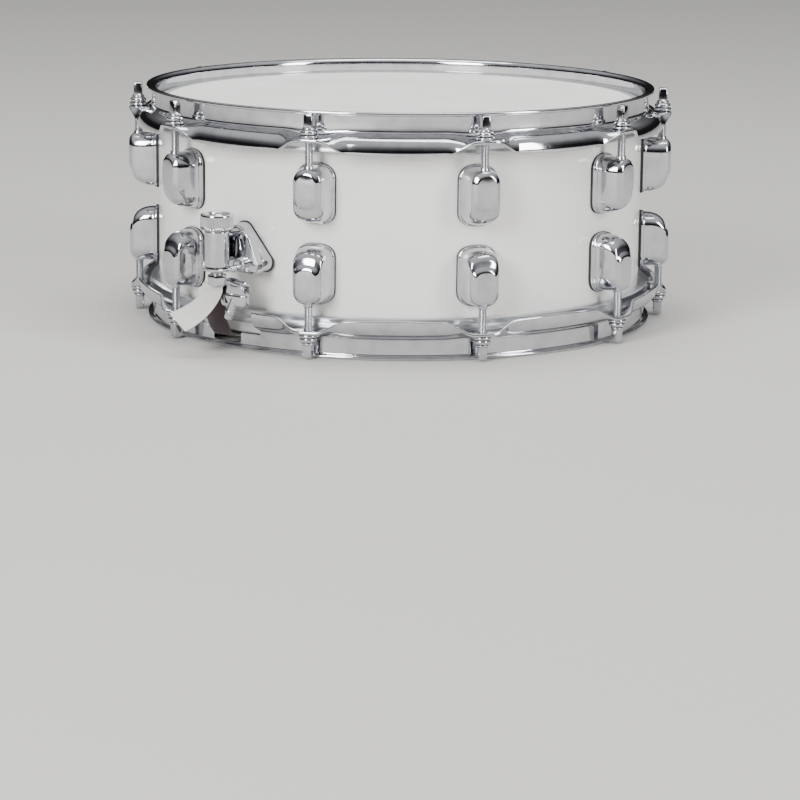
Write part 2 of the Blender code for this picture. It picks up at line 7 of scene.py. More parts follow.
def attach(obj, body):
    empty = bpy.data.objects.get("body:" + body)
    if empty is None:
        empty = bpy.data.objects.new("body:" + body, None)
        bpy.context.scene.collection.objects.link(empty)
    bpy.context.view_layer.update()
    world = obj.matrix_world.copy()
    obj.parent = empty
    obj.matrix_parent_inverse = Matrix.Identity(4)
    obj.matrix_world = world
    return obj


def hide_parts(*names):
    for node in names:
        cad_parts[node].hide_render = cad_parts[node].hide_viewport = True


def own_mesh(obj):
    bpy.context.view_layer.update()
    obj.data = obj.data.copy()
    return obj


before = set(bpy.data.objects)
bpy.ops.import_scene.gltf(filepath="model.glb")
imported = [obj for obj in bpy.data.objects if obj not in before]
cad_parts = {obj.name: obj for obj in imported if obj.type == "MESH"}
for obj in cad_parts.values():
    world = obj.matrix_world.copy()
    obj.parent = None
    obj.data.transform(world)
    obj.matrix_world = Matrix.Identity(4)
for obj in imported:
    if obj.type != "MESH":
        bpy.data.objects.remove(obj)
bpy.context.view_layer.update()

# Everything is turned about the drum's axis; heights are counted from the middle of the shell
drumSettings = {
    "middle": 0.0846,
    "shellRadius": 0.1765,
    "rodCircle": 0.1917,
    "rodCount": 10,
    "strainerTurn": math.radians(-36),
    "buttTurn": math.radians(144),
    "ventTurn": math.radians(180),
}
middle = drumSettings["middle"]
shellRadius = drumSettings["shellRadius"]
rodTurns = [math.radians(36 * (i - 0.5)) for i in range(drumSettings["rodCount"])]


def linear(hexColour):
    channels = [int(hexColour[i:i + 2], 16) / 255 for i in (1, 3, 5)]
    return tuple(c / 12.92 if c <= 0.04045 else ((c + 0.055) / 1.055) ** 2.4 for c in channels) + (1.0,)


def smooth(value):
    value = min(1.0, max(0.0, value))
    return value * value * (3 - 2 * value)


def mix(a, b, share):
    return a + (b - a) * share


# ---- materials ----
def addNode(material, kind, settings=None, links=None):
    node = material.node_tree.nodes.new(kind)
    for key, value in (settings or {}).items():
        if isinstance(key, int) or key in node.inputs:
            node.inputs[key].default_value = value
        else:
            setattr(node, key, value)
    for key, source in (links or {}).items():
        material.node_tree.links.new(source, node.inputs[key])
    return node


def newMaterial(name, colour, roughness, metallic=0.0, ior=None):
    material = bpy.data.materials.new(name)
    material.use_nodes = True
    shader = material.node_tree.nodes["Principled BSDF"]
    shader.inputs["Base Color"].default_value = linear(colour)
    shader.inputs["Roughness"].default_value = roughness
    shader.inputs["Metallic"].default_value = metallic
    if ior:
        shader.inputs["IOR"].default_value = ior
    return material, shader


def connect(material, source, target):
    material.node_tree.links.new(source, target)


def setRamp(ramp, stops):
    elements = ramp.color_ramp.elements
    while len(elements) < len(stops):
        elements.new(0.5)
    for element, (place, colour) in zip(elements, stops):
        element.position = place
        element.color = linear(colour)


def objectCoordinates(material, scale=(1, 1, 1)):
    coordinates = addNode(material, "ShaderNodeTexCoord")
    place = addNode(material, "ShaderNodeMapping", {"Scale": scale},
                    {"Vector": coordinates.outputs["Object"]})
    return place.outputs["Vector"]


def chromeMaterial(name, colour, low, high, ripple):
    # Bright chrome plate: a mirror with faint polishing haze, finger smudges and a slightly uneven skin
    material, shader = newMaterial(name, colour, low, metallic=1.0)
    place = objectCoordinates(material)
    haze = addNode(material, "ShaderNodeTexNoise", {"Scale": 38.0, "Detail": 4.0, "Roughness": 0.6},
                   {"Vector": place})
    spread = addNode(material, "ShaderNodeMapRange", {"From Min": 0.35, "From Max": 0.75, "To Min": low,
                                                      "To Max": high},
                     {"Value": haze.outputs["Fac"]})
    connect(material, spread.outputs["Result"], shader.inputs["Roughness"])
    tarnish = addNode(material, "ShaderNodeTexNoise", {"Scale": 90.0, "Detail": 5.0}, {"Vector": place})
    tone = addNode(material, "ShaderNodeValToRGB", None, {"Fac": tarnish.outputs["Fac"]})
    setRamp(tone, [(0.30, "#bcbdc1"), (0.55, colour)])
    connect(material, tone.outputs["Color"], shader.inputs["Base Color"])
    skin = addNode(material, "ShaderNodeTexNoise", {"Scale": 130.0, "Detail": 2.0}, {"Vector": place})
    bump = addNode(material, "ShaderNodeBump", {"Strength": ripple, "Distance": 0.0003},
                   {"Height": skin.outputs["Fac"]})
    connect(material, bump.outputs["Normal"], shader.inputs["Normal"])
    return material


chromeSheet = chromeMaterial("chromePlateOnSteel", "#cdced1", 0.05, 0.13, 0.04)
chromeCast = chromeMaterial("chromePlateOnCasting", "#cbccd0", 0.06, 0.15, 0.06)


def lacquerMaterial():
    # White gloss lacquer over wood: deep clear coat, millimetre orange peel, very faint warm clouds
    material, shader = newMaterial("whiteGlossLacquer", "#f3f2ee", 0.32, ior=1.5)
    shader.inputs["Coat Weight"].default_value = 1.0
    shader.inputs["Coat Roughness"].default_value = 0.035
    place = objectCoordinates(material)
    clouds = addNode(material, "ShaderNodeTexNoise", {"Scale": 9.0, "Detail": 3.0}, {"Vector": place})
    tone = addNode(material, "ShaderNodeValToRGB", None, {"Fac": clouds.outputs["Fac"]})
    setRamp(tone, [(0.35, "#efeeea"), (0.65, "#f6f5f2")])
    connect(material, tone.outputs["Color"], shader.inputs["Base Color"])
    peel = addNode(material, "ShaderNodeTexNoise", {"Scale": 520.0, "Detail": 1.0}, {"Vector": place})
    bump = addNode(material, "ShaderNodeBump", {"Strength": 0.05, "Distance": 0.0002},
                   {"Height": peel.outputs["Fac"]})
    connect(material, bump.outputs["Normal"], shader.inputs["Coat Normal"])
    return material


def mapleMaterial():
    # Six-ply maple, sanded and sealed: 1.2 mm plies show on the cut edges, upright grain on the inner wall
    material, shader = newMaterial("sealedMaplePly", "#d9b98c", 0.42, ior=1.5)
    coordinates = addNode(material, "ShaderNodeTexCoord")
    parts = addNode(material, "ShaderNodeSeparateXYZ", None, {"Vector": coordinates.outputs["Object"]})
    flat = addNode(material, "ShaderNodeCombineXYZ", None, {"X": parts.outputs["X"], "Y": parts.outputs["Y"]})
    reach = addNode(material, "ShaderNodeVectorMath", {"operation": "LENGTH"}, {0: flat.outputs["Vector"]})
    count = addNode(material, "ShaderNodeMath", {"operation": "MULTIPLY", 1: 2 * math.pi / 0.0023},
                    {0: reach.outputs["Value"]})
    plies = addNode(material, "ShaderNodeMath", {"operation": "SINE"}, {0: count.outputs["Value"]})
    stretch = addNode(material, "ShaderNodeMapping", {"Scale": (260.0, 260.0, 11.0)},
                      {"Vector": coordinates.outputs["Object"]})
    grain = addNode(material, "ShaderNodeTexNoise", {"Scale": 1.0, "Detail": 6.0, "Roughness": 0.62},
                    {"Vector": stretch.outputs["Vector"]})
    total = addNode(material, "ShaderNodeMath", {"operation": "MULTIPLY_ADD", 1: 0.13},
                    {0: plies.outputs["Value"], 2: grain.outputs["Fac"]})
    tone = addNode(material, "ShaderNodeValToRGB", None, {"Fac": total.outputs["Value"]})
    setRamp(tone, [(0.28, "#b98f5e"), (0.50, "#d8b685"), (0.72, "#e7cda3")])
    connect(material, tone.outputs["Color"], shader.inputs["Base Color"])
    bump = addNode(material, "ShaderNodeBump", {"Strength": 0.15, "Distance": 0.0002},
                   {"Height": grain.outputs["Fac"]})
    connect(material, bump.outputs["Normal"], shader.inputs["Normal"])
    return material


def coatedFilmMaterial():
    # Sprayed white coating on polyester film: a matte, sandy skin with grains of about 0.6 mm
    material, shader = newMaterial("sprayedWhiteCoating", "#f2f1ee", 0.62, ior=1.5)
    place = objectCoordinates(material)
    grit = addNode(material, "ShaderNodeTexNoise", {"Scale": 1500.0, "Detail": 2.0}, {"Vector": place})
    blotch = addNode(material, "ShaderNodeTexNoise", {"Scale": 22.0, "Detail": 4.0}, {"Vector": place})
    tone = addNode(material, "ShaderNodeValToRGB", None, {"Fac": blotch.outputs["Fac"]})
    setRamp(tone, [(0.32, "#ebeae6"), (0.68, "#f6f5f2")])
    connect(material, tone.outputs["Color"], shader.inputs["Base Color"])
    spread = addNode(material, "ShaderNodeMapRange", {"To Min": 0.50, "To Max": 0.74},
                     {"Value": blotch.outputs["Fac"]})
    connect(material, spread.outputs["Result"], shader.inputs["Roughness"])
    bump = addNode(material, "ShaderNodeBump", {"Strength": 0.30, "Distance": 0.00025},
                   {"Height": grit.outputs["Fac"]})
    connect(material, bump.outputs["Normal"], shader.inputs["Normal"])
    return material


def filmMaterial(name, colour, alpha):
    # Clear polyester film: glossy with a patchy haze, light passes through
    material, shader = newMaterial(name, colour, 0.16, ior=1.6)
    shader.inputs["Alpha"].default_value = alpha
    place = objectCoordinates(material)
    haze = addNode(material, "ShaderNodeTexNoise", {"Scale": 60.0, "Detail": 4.0}, {"Vector": place})
    spread = addNode(material, "ShaderNodeMapRange", {"To Min": 0.10, "To Max": 0.24},
                     {"Value": haze.outputs["Fac"]})
    connect(material, spread.outputs["Result"], shader.inputs["Roughness"])
    return material


def brushedMaterial(name, colour, scale, roughness, contrast):
    # Turned or drawn metal: fine lines along one direction, satin sheen
    material, shader = newMaterial(name, colour, roughness, metallic=1.0)
    place = objectCoordinates(material, scale)
    lines = addNode(material, "ShaderNodeTexNoise", {"Scale": 1.0, "Detail": 5.0, "Roughness": 0.7},
                    {"Vector": place})
    spread = addNode(material, "ShaderNodeMapRange", {"To Min": roughness - 0.08, "To Max": roughness + 0.12},
                     {"Value": lines.outputs["Fac"]})
    connect(material, spread.outputs["Result"], shader.inputs["Roughness"])
    bump = addNode(material, "ShaderNodeBump", {"Strength": contrast, "Distance": 0.0001},
                   {"Height": lines.outputs["Fac"]})
    connect(material, bump.outputs["Normal"], shader.inputs["Normal"])
    return material


def rubberMaterial():
    # Moulded black gasket rubber: dull, with a fine dusty bloom
    material, shader = newMaterial("mouldedGasketRubber", "#1c1b1c", 0.7, ior=1.52)
    place = objectCoordinates(material)
    bloom = addNode(material, "ShaderNodeTexNoise", {"Scale": 300.0, "Detail": 3.0}, {"Vector": place})
    tone = addNode(material, "ShaderNodeValToRGB", None, {"Fac": bloom.outputs["Fac"]})
    setRamp(tone, [(0.35, "#161516"), (0.70, "#2b292b")])
    connect(material, tone.outputs["Color"], shader.inputs["Base Color"])
    return material


def ribbonMaterial(name, dark, light):
    # Woven polyester ribbon: 0.9 mm cross ribs over 0.6 mm warp threads, coarser than real so that they show
    material, shader = newMaterial(name, light, 0.78, ior=1.5)
    shader.inputs["Sheen Weight"].default_value = 0.35
    shader.inputs["Sheen Roughness"].default_value = 0.4
    weave = addNode(material, "ShaderNodeUVMap", {"uv_map": "ribbonWeave"})
    threads = []
    for scale, settings in (((60.0, 175.0, 1.0), {"bands_direction": "Y", "Distortion": 0.4, "Detail": 1.0}),
                            ((260.0, 60.0, 1.0), {"bands_direction": "X", "Distortion": 0.3})):
        place = addNode(material, "ShaderNodeMapping", {"Scale": scale}, {"Vector": weave.outputs["UV"]})
        threads.append(addNode(material, "ShaderNodeTexWave", {"Scale": 1.0, **settings},
                               {"Vector": place.outputs["Vector"]}))
    cloth = addNode(material, "ShaderNodeMath", {"operation": "MULTIPLY"},
                    {0: threads[0].outputs["Fac"], 1: threads[1].outputs["Fac"]})
    # the ramp paints the gaps between the threads in the darker colour: painted shade in the weave's hollows
    tone = addNode(material, "ShaderNodeValToRGB", None, {"Fac": cloth.outputs["Value"]})
    setRamp(tone, [(0.0, dark), (0.8, light)])
    connect(material, tone.outputs["Color"], shader.inputs["Base Color"])
    bump = addNode(material, "ShaderNodeBump", {"Strength": 0.5, "Distance": 0.0003},
                   {"Height": cloth.outputs["Value"]})
    connect(material, bump.outputs["Normal"], shader.inputs["Normal"])
    return material


lacquer = lacquerMaterial()
maple = mapleMaterial()
coatedFilm = coatedFilmMaterial()
clearFilm = filmMaterial("clearPolyesterFilm", "#e6ebec", 0.42)
collarFilm = filmMaterial("uncoatedFilmCollar", "#e9ebea", 0.80)
hoopAluminium = brushedMaterial("extrudedAluminium", "#c9cbce", (30.0, 30.0, 2600.0), 0.30, 0.25)
nickelSteel = brushedMaterial("nickelPlatedSteel", "#c6c8cb", (2200.0, 2200.0, 60.0), 0.24, 0.2)
springSteel = brushedMaterial("drawnSpringWire", "#b9bcc0", (900.0, 900.0, 900.0), 0.30, 0.1)
gasketRubber = rubberMaterial()
whiteRibbon = ribbonMaterial("wovenRibbonWhiteFace", "#c9c7c0", "#f4f3ee")
# the ribbon's back face is painted shade: a dark maroon copy of the white ribbon that stands in for the shade
# on the strap's run
ribbonPaintedShade = ribbonMaterial("wovenRibbonPaintedShadeBack", "#220c14", "#46222f")
print("materials made")


# ---- mesh helpers ----
def meshFrom(name, bm):
    mesh = bpy.data.meshes.new(name)
    bm.to_mesh(mesh)
    bm.free()
    return mesh


def newObject(name, data):
    added = bpy.data.objects.new(name, data)
    bpy.context.collection.objects.link(added)
    return added


def finishPiece(name, bm, materials, body, nodes=(), sharp=32, weld=0.000002, recalc=True):
    bmesh.ops.remove_doubles(bm, verts=bm.verts, dist=weld)
    if recalc:
        bmesh.ops.recalc_face_normals(bm, faces=bm.faces)
    mesh = meshFrom(name, bm)
    for material in materials:
        mesh.materials.append(material)
    mesh.shade_smooth()
    mesh.set_sharp_from_angle(angle=math.radians(sharp))
    piece = newObject(name, mesh)
    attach(piece, body)
    if nodes:
        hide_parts(*nodes)
    return piece


def spinProfile(bm, points, steps, closed=False):
    # a chain of (radius, height) points spun round Z
    verts = [bm.verts.new((r, 0, z)) for r, z in points]
    edges = [bm.edges.new(pair) for pair in zip(verts, verts[1:])]
    if closed:
        edges.append(bm.edges.new((verts[-1], verts[0])))
    bmesh.ops.spin(bm, geom=verts + edges, cent=(0, 0, 0), axis=(0, 0, 1), angle=2 * math.pi, steps=steps,
                   use_merge=True, use_duplicate=False)
    bmesh.ops.remove_doubles(bm, verts=bm.verts[:], dist=0.0000005)


def roundedChain(points, radii, count=4):
    # corners of a profile eased with a short curve of the given reach
    chain = [points[0]]
    for before, corner, after, reach in zip(points, points[1:], points[2:], radii):
        a, b, c = Vector(before), Vector(corner), Vector(after)
        start = b + (a - b).normalized() * min(reach, (a - b).length * 0.49)
        end = b + (c - b).normalized() * min(reach, (c - b).length * 0.49)
        for i in range(count + 1):
            t = i / count
            chain.append(tuple(start * (1 - t) ** 2 + b * 2 * t * (1 - t) + end * t * t))
    chain.append(points[-1])
    return chain


def turnedBody(points, reach, count, steps):
    # every corner of the profile is eased alike
    bm = bmesh.new()
    spinProfile(bm, roundedChain(points, [reach] * len(points), count), steps)
    return bm


def roundBar(radius, depth, segments):
    bm = bmesh.new()
    bmesh.ops.create_cone(bm, cap_ends=True, segments=segments, radius1=radius, radius2=radius, depth=depth)
    return bm


def shiftBody(bm, across, out, up):
    bmesh.ops.translate(bm, vec=(across, out, up), verts=bm.verts)


def turnBody(bm, angle, axis):
    bmesh.ops.rotate(bm, cent=(0, 0, 0), matrix=Matrix.Rotation(angle, 3, axis), verts=bm.verts)


def easeEdges(bm, edges, offset, segments):
    bmesh.ops.bevel(bm, geom=edges, offset=offset, segments=segments, profile=0.5, affect="EDGES",
                    material=-1)


def moveInto(bm, turn, flip=False, shift=(0, 0, 0)):
    # from a piece's own place, -Y outwards, to its place on the drum
    shiftBody(bm, *shift)
    if flip:
        turnBody(bm, math.pi, "Y")
    turnBody(bm, turn, "Z")
    shiftBody(bm, 0, 0, middle)


def joined(*parts):
    # several bmeshes and their material numbers made one
    whole = bmesh.new()
    for part, number in parts:
        for face in part.faces:
            face.material_index = number
        bmesh.ops.recalc_face_normals(part, faces=part.faces)
        mesh = meshFrom("part", part)
        whole.from_mesh(mesh)
        bpy.data.meshes.remove(mesh)
    return whole


def outlineBody(outline, depth, inset=0.0, bevel=0.0006, segments=3):
    # a flat outline in XZ, extruded along -Y from 0, its front edge eased
    bm = bmesh.new()
    verts = [bm.verts.new((x, 0, z)) for x, z in outline]
    face = bm.faces.new(verts)
    made = bmesh.ops.extrude_face_region(bm, geom=[face])
    top = [v for v in made["geom"] if isinstance(v, bmesh.types.BMVert)]
    bmesh.ops.translate(bm, vec=(0, -depth, 0), verts=top)
    if inset:
        centre = sum((v.co for v in top), Vector()) / len(top)
        for v in top:
            away = v.co - centre
            away.y = 0
            v.co -= away.normalized() * inset
    topSet = set(top)
    rim = [e for e in bm.edges if e.verts[0] in topSet and e.verts[1] in topSet]
    bmesh.ops.recalc_face_normals(bm, faces=bm.faces)
    if bevel:
        easeEdges(bm, rim, bevel, segments)
    return bm


def arcPoints(cx, cz, radius, start, end, count):
    angles = [math.radians(start + (end - start) * i / (count - 1)) for i in range(count)]
    return [(cx + radius * math.cos(a), cz + radius * math.sin(a)) for a in angles]


def boxBody(size, centre, bevel=0.0005, segments=3):
    bm = bmesh.new()
    bmesh.ops.create_cube(bm, size=1)
    bmesh.ops.scale(bm, vec=size, verts=bm.verts)
    bmesh.ops.translate(bm, vec=centre, verts=bm.verts)
    easeEdges(bm, bm.edges[:], bevel, segments)
    return bm


def cutWith(piece, bodies, sharp):
    # finished bmeshes cut out of a piece's mesh, one after another
    for body in bodies:
        bmesh.ops.recalc_face_normals(body, faces=body.faces)
        cutter = newObject("cutter", meshFrom("cutter", body))
        step = piece.modifiers.new("Boolean", "BOOLEAN")
        step.operation = "DIFFERENCE"
        step.solver = "MANIFOLD"
        step.object = cutter
        bpy.context.view_layer.update()
        result = bpy.data.meshes.new_from_object(piece.evaluated_get(bpy.context.evaluated_depsgraph_get()))
        piece.modifiers.clear()
        piece.data = result
        bpy.data.objects.remove(cutter, do_unlink=True)
    piece.data.shade_smooth()
    piece.data.set_sharp_from_angle(angle=math.radians(sharp))


# ---- shell ----
shellSettings = {"wall": 0.007, "half": 0.074, "steps": 240, "bedDepth": 0.0015, "bedRadius": 0.55}


def makeShell():
    s = shellSettings
    outer, inner, half = shellRadius, shellRadius - s["wall"], s["half"]
    bedTurn = drumSettings["strainerTurn"]
    edge = half - s["wall"] + 0.001
    points = [(outer, 0.0), (outer, half - 0.0011), (outer - 0.0003, half - 0.0004), (outer - 0.0010, half),
              (outer - 0.0016, half - 0.0003), (inner + 0.0002, edge + 0.0001), (inner, edge - 0.0004),
              (inner, 0.0)]
    rows = points + [(r, -z) for r, z in reversed(points[1:-1])]
    bm = bmesh.new()
    spinProfile(bm, rows, s["steps"], closed=True)
    # upright spans get a few rows so that the lacquer's reflections stay even
    bmesh.ops.subdivide_edges(bm, edges=[e for e in bm.edges if e.calc_length() > 0.03], cuts=6,
                              use_grid_fill=True)
    for v in bm.verts:
        # the snare beds dip towards the strainer and the butt plate
        if v.co.z < -0.06:
            across = v.co.x * math.cos(bedTurn) + v.co.y * math.sin(bedTurn)
            floor = -half + s["bedDepth"] - (s["bedRadius"] - math.sqrt(s["bedRadius"] ** 2 - across ** 2))
            if v.co.z < floor:
                v.co.z = floor
    for face in bm.faces:
        centre = face.calc_center_median()
        radius = math.hypot(centre.x, centre.y)
        face.material_index = 0 if radius > outer - 0.0007 else 1
    shiftBody(bm, 0, 0, middle)
    shell = finishPiece("shell_lacquered", bm, [lacquer, maple], "drum", ["shell"],
                        sharp=30)
    hole = roundBar(0.0064, 0.03, 48)
    turnBody(hole, math.pi / 2, "X")
    moveInto(hole, drumSettings["ventTurn"], shift=(0, -shellRadius, 0))
    cutWith(shell, [hole], 30)


makeShell()

ventSettings = {"flange": 0.0098, "tube": 0.0060, "bore": 0.0046}


def makeVent():
    s = ventSettings
    profile = [(s["bore"], -0.0080), (s["tube"], -0.0080), (s["tube"], 0.0005), (s["flange"], 0.0005),
               (s["flange"] - 0.0010, 0.0017), (s["bore"] + 0.0016, 0.0018), (s["bore"], 0.0006),
               (s["bore"], -0.0080)]
    bm = turnedBody(profile, 0.0004, 3, 64)
    turnBody(bm, math.pi / 2, "X")
    moveInto(bm, drumSettings["ventTurn"], shift=(0, -shellRadius, 0))
    finishPiece("vent_eyelet", bm, [chromeSheet], "drum")


makeVent()
print("shell made")

# ---- heads and their flesh hoops ----
headSettings = {"top": 0.0748, "film": 0.0004, "collar": 0.1773, "collarLow": 0.0572, "coatingEdge": 0.1700,
                "steps": 240}


def makeFilm(outside):
    # both skins of a film from the chain of points on its outer one
    inside = [(max(0.0, r - (headSettings["film"] if r > 0.1765 else 0.0)),
               z - (headSettings["film"] if z > 0.0735 else 0.0)) for r, z in reversed(outside)]
    bm = bmesh.new()
    spinProfile(bm, outside + inside + ([outside[0]] if outside[0][0] else []), headSettings["steps"])
    return bm


def makeHead(label, flip):
    s = headSettings
    edge = s["coatingEdge"]
    low = s["top"] - 0.00008
    skin = [(0.0, s["top"])] + [(edge * i / 12, s["top"]) for i in range(1, 12)] + [(edge - 0.0003,
                                                                                     s["top"]), (edge, low)]
    bend = roundedChain([(edge + 0.00004, low), (shellRadius - 0.0012, low), (s["collar"], s["top"] - 0.0015),
                         (s["collar"], s["collarLow"])], [0.002, 0.0012], 6)
    looks = {"batter": coatedFilm, "snare": clearFilm}
    for part, outline, look in (("film", skin, looks[label]), ("collar", bend, collarFilm)):
        bm = makeFilm(outline)
        moveInto(bm, 0.0, flip=flip)
        node = label + "_head" + ("" if part == "film" else "_collar")
        finishPiece(f"{label}_head_{part}", bm, [look], "drum", [node], sharp=40)


def makeFleshHoop(label, flip):
    # a rolled channel: two lips and a groove that holds the film
    profile = [(0.18285, 0.0650), (0.1830, 0.0615), (0.1826, 0.0606), (0.1826, 0.0590), (0.1830, 0.0581),
               (0.1829, 0.0566), (0.1822, 0.0562), (0.1779, 0.0562), (0.1776, 0.0566), (0.1776, 0.0648),
               (0.1780, 0.0653), (0.1795, 0.0653), (0.1799, 0.0646), (0.1809, 0.0646), (0.1813, 0.0653),
               (0.1824, 0.0654)]
    bm = bmesh.new()
    spinProfile(bm, profile, 240, closed=True)
    moveInto(bm, 0.0, flip=flip)
    finishPiece(label + "_flesh_channel", bm, [hoopAluminium], "drum", [label + "_flesh_hoop"],
                       sharp=50)


for label, flip in (("batter", False), ("snare", True)):
    makeHead(label, flip)
    makeFleshHoop(label, flip)
print("heads made")

# ---- hoops: one sheet section swept round, its skirt lifting into a flat ear at every rod ----
hoopSettings = {
    "sheet": 0.0023,
    "rim": 0.0846,
    "wall": 0.18005,
    "lip": 0.1844,
    "ear": 0.1974,
    "earHeight": 0.06565,
    "skirt": 0.1910,
    "skirtLow": 0.0564,
    "stepsPerRod": 44,
    "gates": (
        (drumSettings["strainerTurn"], -0.0095, 0.051, 0.050, 0.0740),
        (drumSettings["strainerTurn"], -0.0140, 0.026, 0.070, 0.0812),
        (drumSettings["buttTurn"], 0.0, 0.050, 0.050, 0.0740),
        (drumSettings["buttTurn"], 0.0, 0.026, 0.070, 0.0812),
    ),
}


def hoopMidline(turn):
    s = hoopSettings
    nearest = min(abs(math.remainder(turn - rod, 2 * math.pi)) for rod in rodTurns)
    arc = nearest * s["skirt"]
    ear = 1 - smooth((arc - 0.006) / 0.020)
    belly = smooth((arc - 0.016) / 0.045)
    low = s["skirtLow"] + 0.0012 * (1 - belly)
    height = s["rim"] - s["sheet"] / 2
    corners = [
        (s["lip"], height),
        (s["wall"], height),
        (s["wall"], mix(0.0698, 0.0690, ear)),
        (mix(0.1863, 0.1852, ear), mix(0.0669, s["earHeight"], ear)),
        (mix(0.1896, 0.1915, ear), mix(0.0638, s["earHeight"], ear)),
        (mix(s["skirt"], s["ear"], ear), mix(low, s["earHeight"], ear)),
    ]
    return roundedChain(corners, [0.0024, 0.0022, 0.0030, 0.0030], 5)


def hoopOutline(turn):
    # the closed section at a turn: both sides of the mid-line and rounded ends
    half = hoopSettings["sheet"] / 2
    line = [Vector(p) for p in hoopMidline(turn)]
    normals = []
    for i in range(len(line)):
        along = line[min(i + 1, len(line) - 1)] - line[max(i - 1, 0)]
        normals.append(Vector((-along.y, along.x)).normalized())
    section = [p + n * half for p, n in zip(line, normals)]
    for centre, normal, sign in ((line[-1], normals[-1], 1), (line[0], normals[0], -1)):
        for k in range(1, 6):
            angle = math.pi * k / 6
            forward = Vector((normal.y, -normal.x)) * sign
            rise = forward * half * 0.55 * math.sin(angle)
            section.append(centre + normal * half * math.cos(angle) * sign + rise)
        if sign == 1:
            section += [p - n * half for p, n in zip(reversed(line), reversed(normals))]
    return section


def makeHoop(label, flip):
    s = hoopSettings
    steps = s["stepsPerRod"] * len(rodTurns)
    bm = bmesh.new()
    section = hoopOutline(0.0)
    layer = bm.verts.layers.int.new("place")
    verts = []
    for index, point in enumerate(section):
        vert = bm.verts.new((point.x, 0, point.y))
        vert[layer] = index
        verts.append(vert)
    edges = [bm.edges.new((verts[i], verts[(i + 1) % len(verts)])) for i in range(len(verts))]
    bmesh.ops.spin(bm, geom=verts + edges, cent=(0, 0, 0), axis=(0, 0, 1), angle=2 * math.pi, steps=steps,
                   use_merge=True, use_duplicate=False)
    known = {}
    for vert in bm.verts:
        turn = math.atan2(vert.co.x, -vert.co.y)
        key = round(turn * steps / (2 * math.pi)) % steps
        if key not in known:
            known[key] = hoopOutline(key * 2 * math.pi / steps)
        point = known[key][vert[layer]]
        angle = key * 2 * math.pi / steps
        vert.co = (point.x * math.sin(angle), -point.x * math.cos(angle), point.y)
    moveInto(bm, 0.0, flip=flip)
    hoop = finishPiece(label + "_hoop_pressed", bm, [chromeSheet], "drum", [label + "_hoop"],
                       sharp=40)
    holes = []
    for rod in rodTurns:
        hole = roundBar(0.0037, 0.009, 32)
        moveInto(hole, rod, flip=flip, shift=(0, -drumSettings["rodCircle"], s["earHeight"]))
        holes.append(hole)
    cutters = [joined(*((hole, 0) for hole in holes))]
    if flip:
        for turn, across, width, top, bottom in s["gates"]:
            notch = boxBody((width, 0.030, bottom - top), (across, -0.186, -(top + bottom) / 2),
                            bevel=0.0016, segments=4)
            moveInto(notch, turn)
            cutters.append(notch)
    cutWith(hoop, cutters, 40)


makeHoop("batter", False)
makeHoop("snare", True)
print("hoops made")

# ---- lugs: chromed casting, rubber gasket, and the swivel nut's collar at the rod end ----
lugSettings = {
    "halfBase": 0.0138,
    "halfFace": 0.0090,
    "top": 0.0459,
    "topBase": 0.0489,
    "low": 0.0067,
    "points": 14,
    "gasket": 0.0009,
}


def lugOutline(half, low, high, lowRound, highRound, count):
    # one closed outline: a squarish round at the dome end, a full round at the rod end
    right = []
    for i in range(count):
        t = math.pi / 2 * i / (count - 1)
        right.append((half * abs(math.sin(t)) ** 0.80, low + lowRound * (1 - abs(math.cos(t)) ** 0.80)))
    for i in range(1, 5):
        right.append((half, mix(low + lowRound, high - highRound, i / 5)))
    for i in range(count):
        t = math.pi / 2 * i / (count - 1)
        right.append((half * abs(math.cos(t)) ** 0.88, high - highRound * (1 - abs(math.sin(t)) ** 0.88)))
    right[-1] = (0.0, high)
    left = [(-x, z) for x, z in reversed(right[1:-1])]
    return right + left


def lugSections():
    # depth, half width, low and high ends, and how far each end's round reaches
    s = lugSettings
    half, low, high = s["halfBase"], s["low"], s["topBase"]
    sections = [(0.0009, half, low, high, 0.0100, 0.0112), (0.0020, half, low, high, 0.0100, 0.0112),
                (0.0026, half - 0.0003, low + 0.0003, high - 0.0003, 0.0099, 0.0110),
                (0.0029, half - 0.0009, low + 0.0009, high - 0.0009, 0.0096, 0.0107),
                (0.0034, half - 0.0011, low + 0.0011, high - 0.0011, 0.0095, 0.0106)]
    for depth in (0.0046, 0.0062, 0.0080, 0.0100, 0.0120, 0.0138, 0.0154, 0.0168, 0.0179, 0.0188):
        t = (depth - 0.0034) / (0.0192 - 0.0034)
        ease = 1 - (1 - t ** 2.2) ** 0.5
        sections.append((depth, mix(half - 0.0011, s["halfFace"] + 0.0008, 0.3 * t + 0.7 * t ** 2.4),
                         mix(low + 0.0011, 0.0176, ease), mix(high - 0.0011, s["top"] + 0.0003, t),
                         mix(0.0095, 0.0076, t), mix(0.0106, 0.0096, t)))
    face = s["halfFace"]
    sections += [(0.0193, face + 0.0004, 0.0184, s["top"], 0.0074, 0.0093),
                 (0.0198, face - 0.0001, 0.0191, s["top"] - 0.0005, 0.0072, 0.0089),
                 (0.0209, face - 0.0013, 0.0206, s["top"] - 0.0018, 0.0066, 0.0078),
                 (0.0213, face - 0.0019, 0.0214, s["top"] - 0.0025, 0.0061, 0.0072),
                 (0.0215, face - 0.0030, 0.0226, s["top"] - 0.0036, 0.0053, 0.0061)]
    return sections


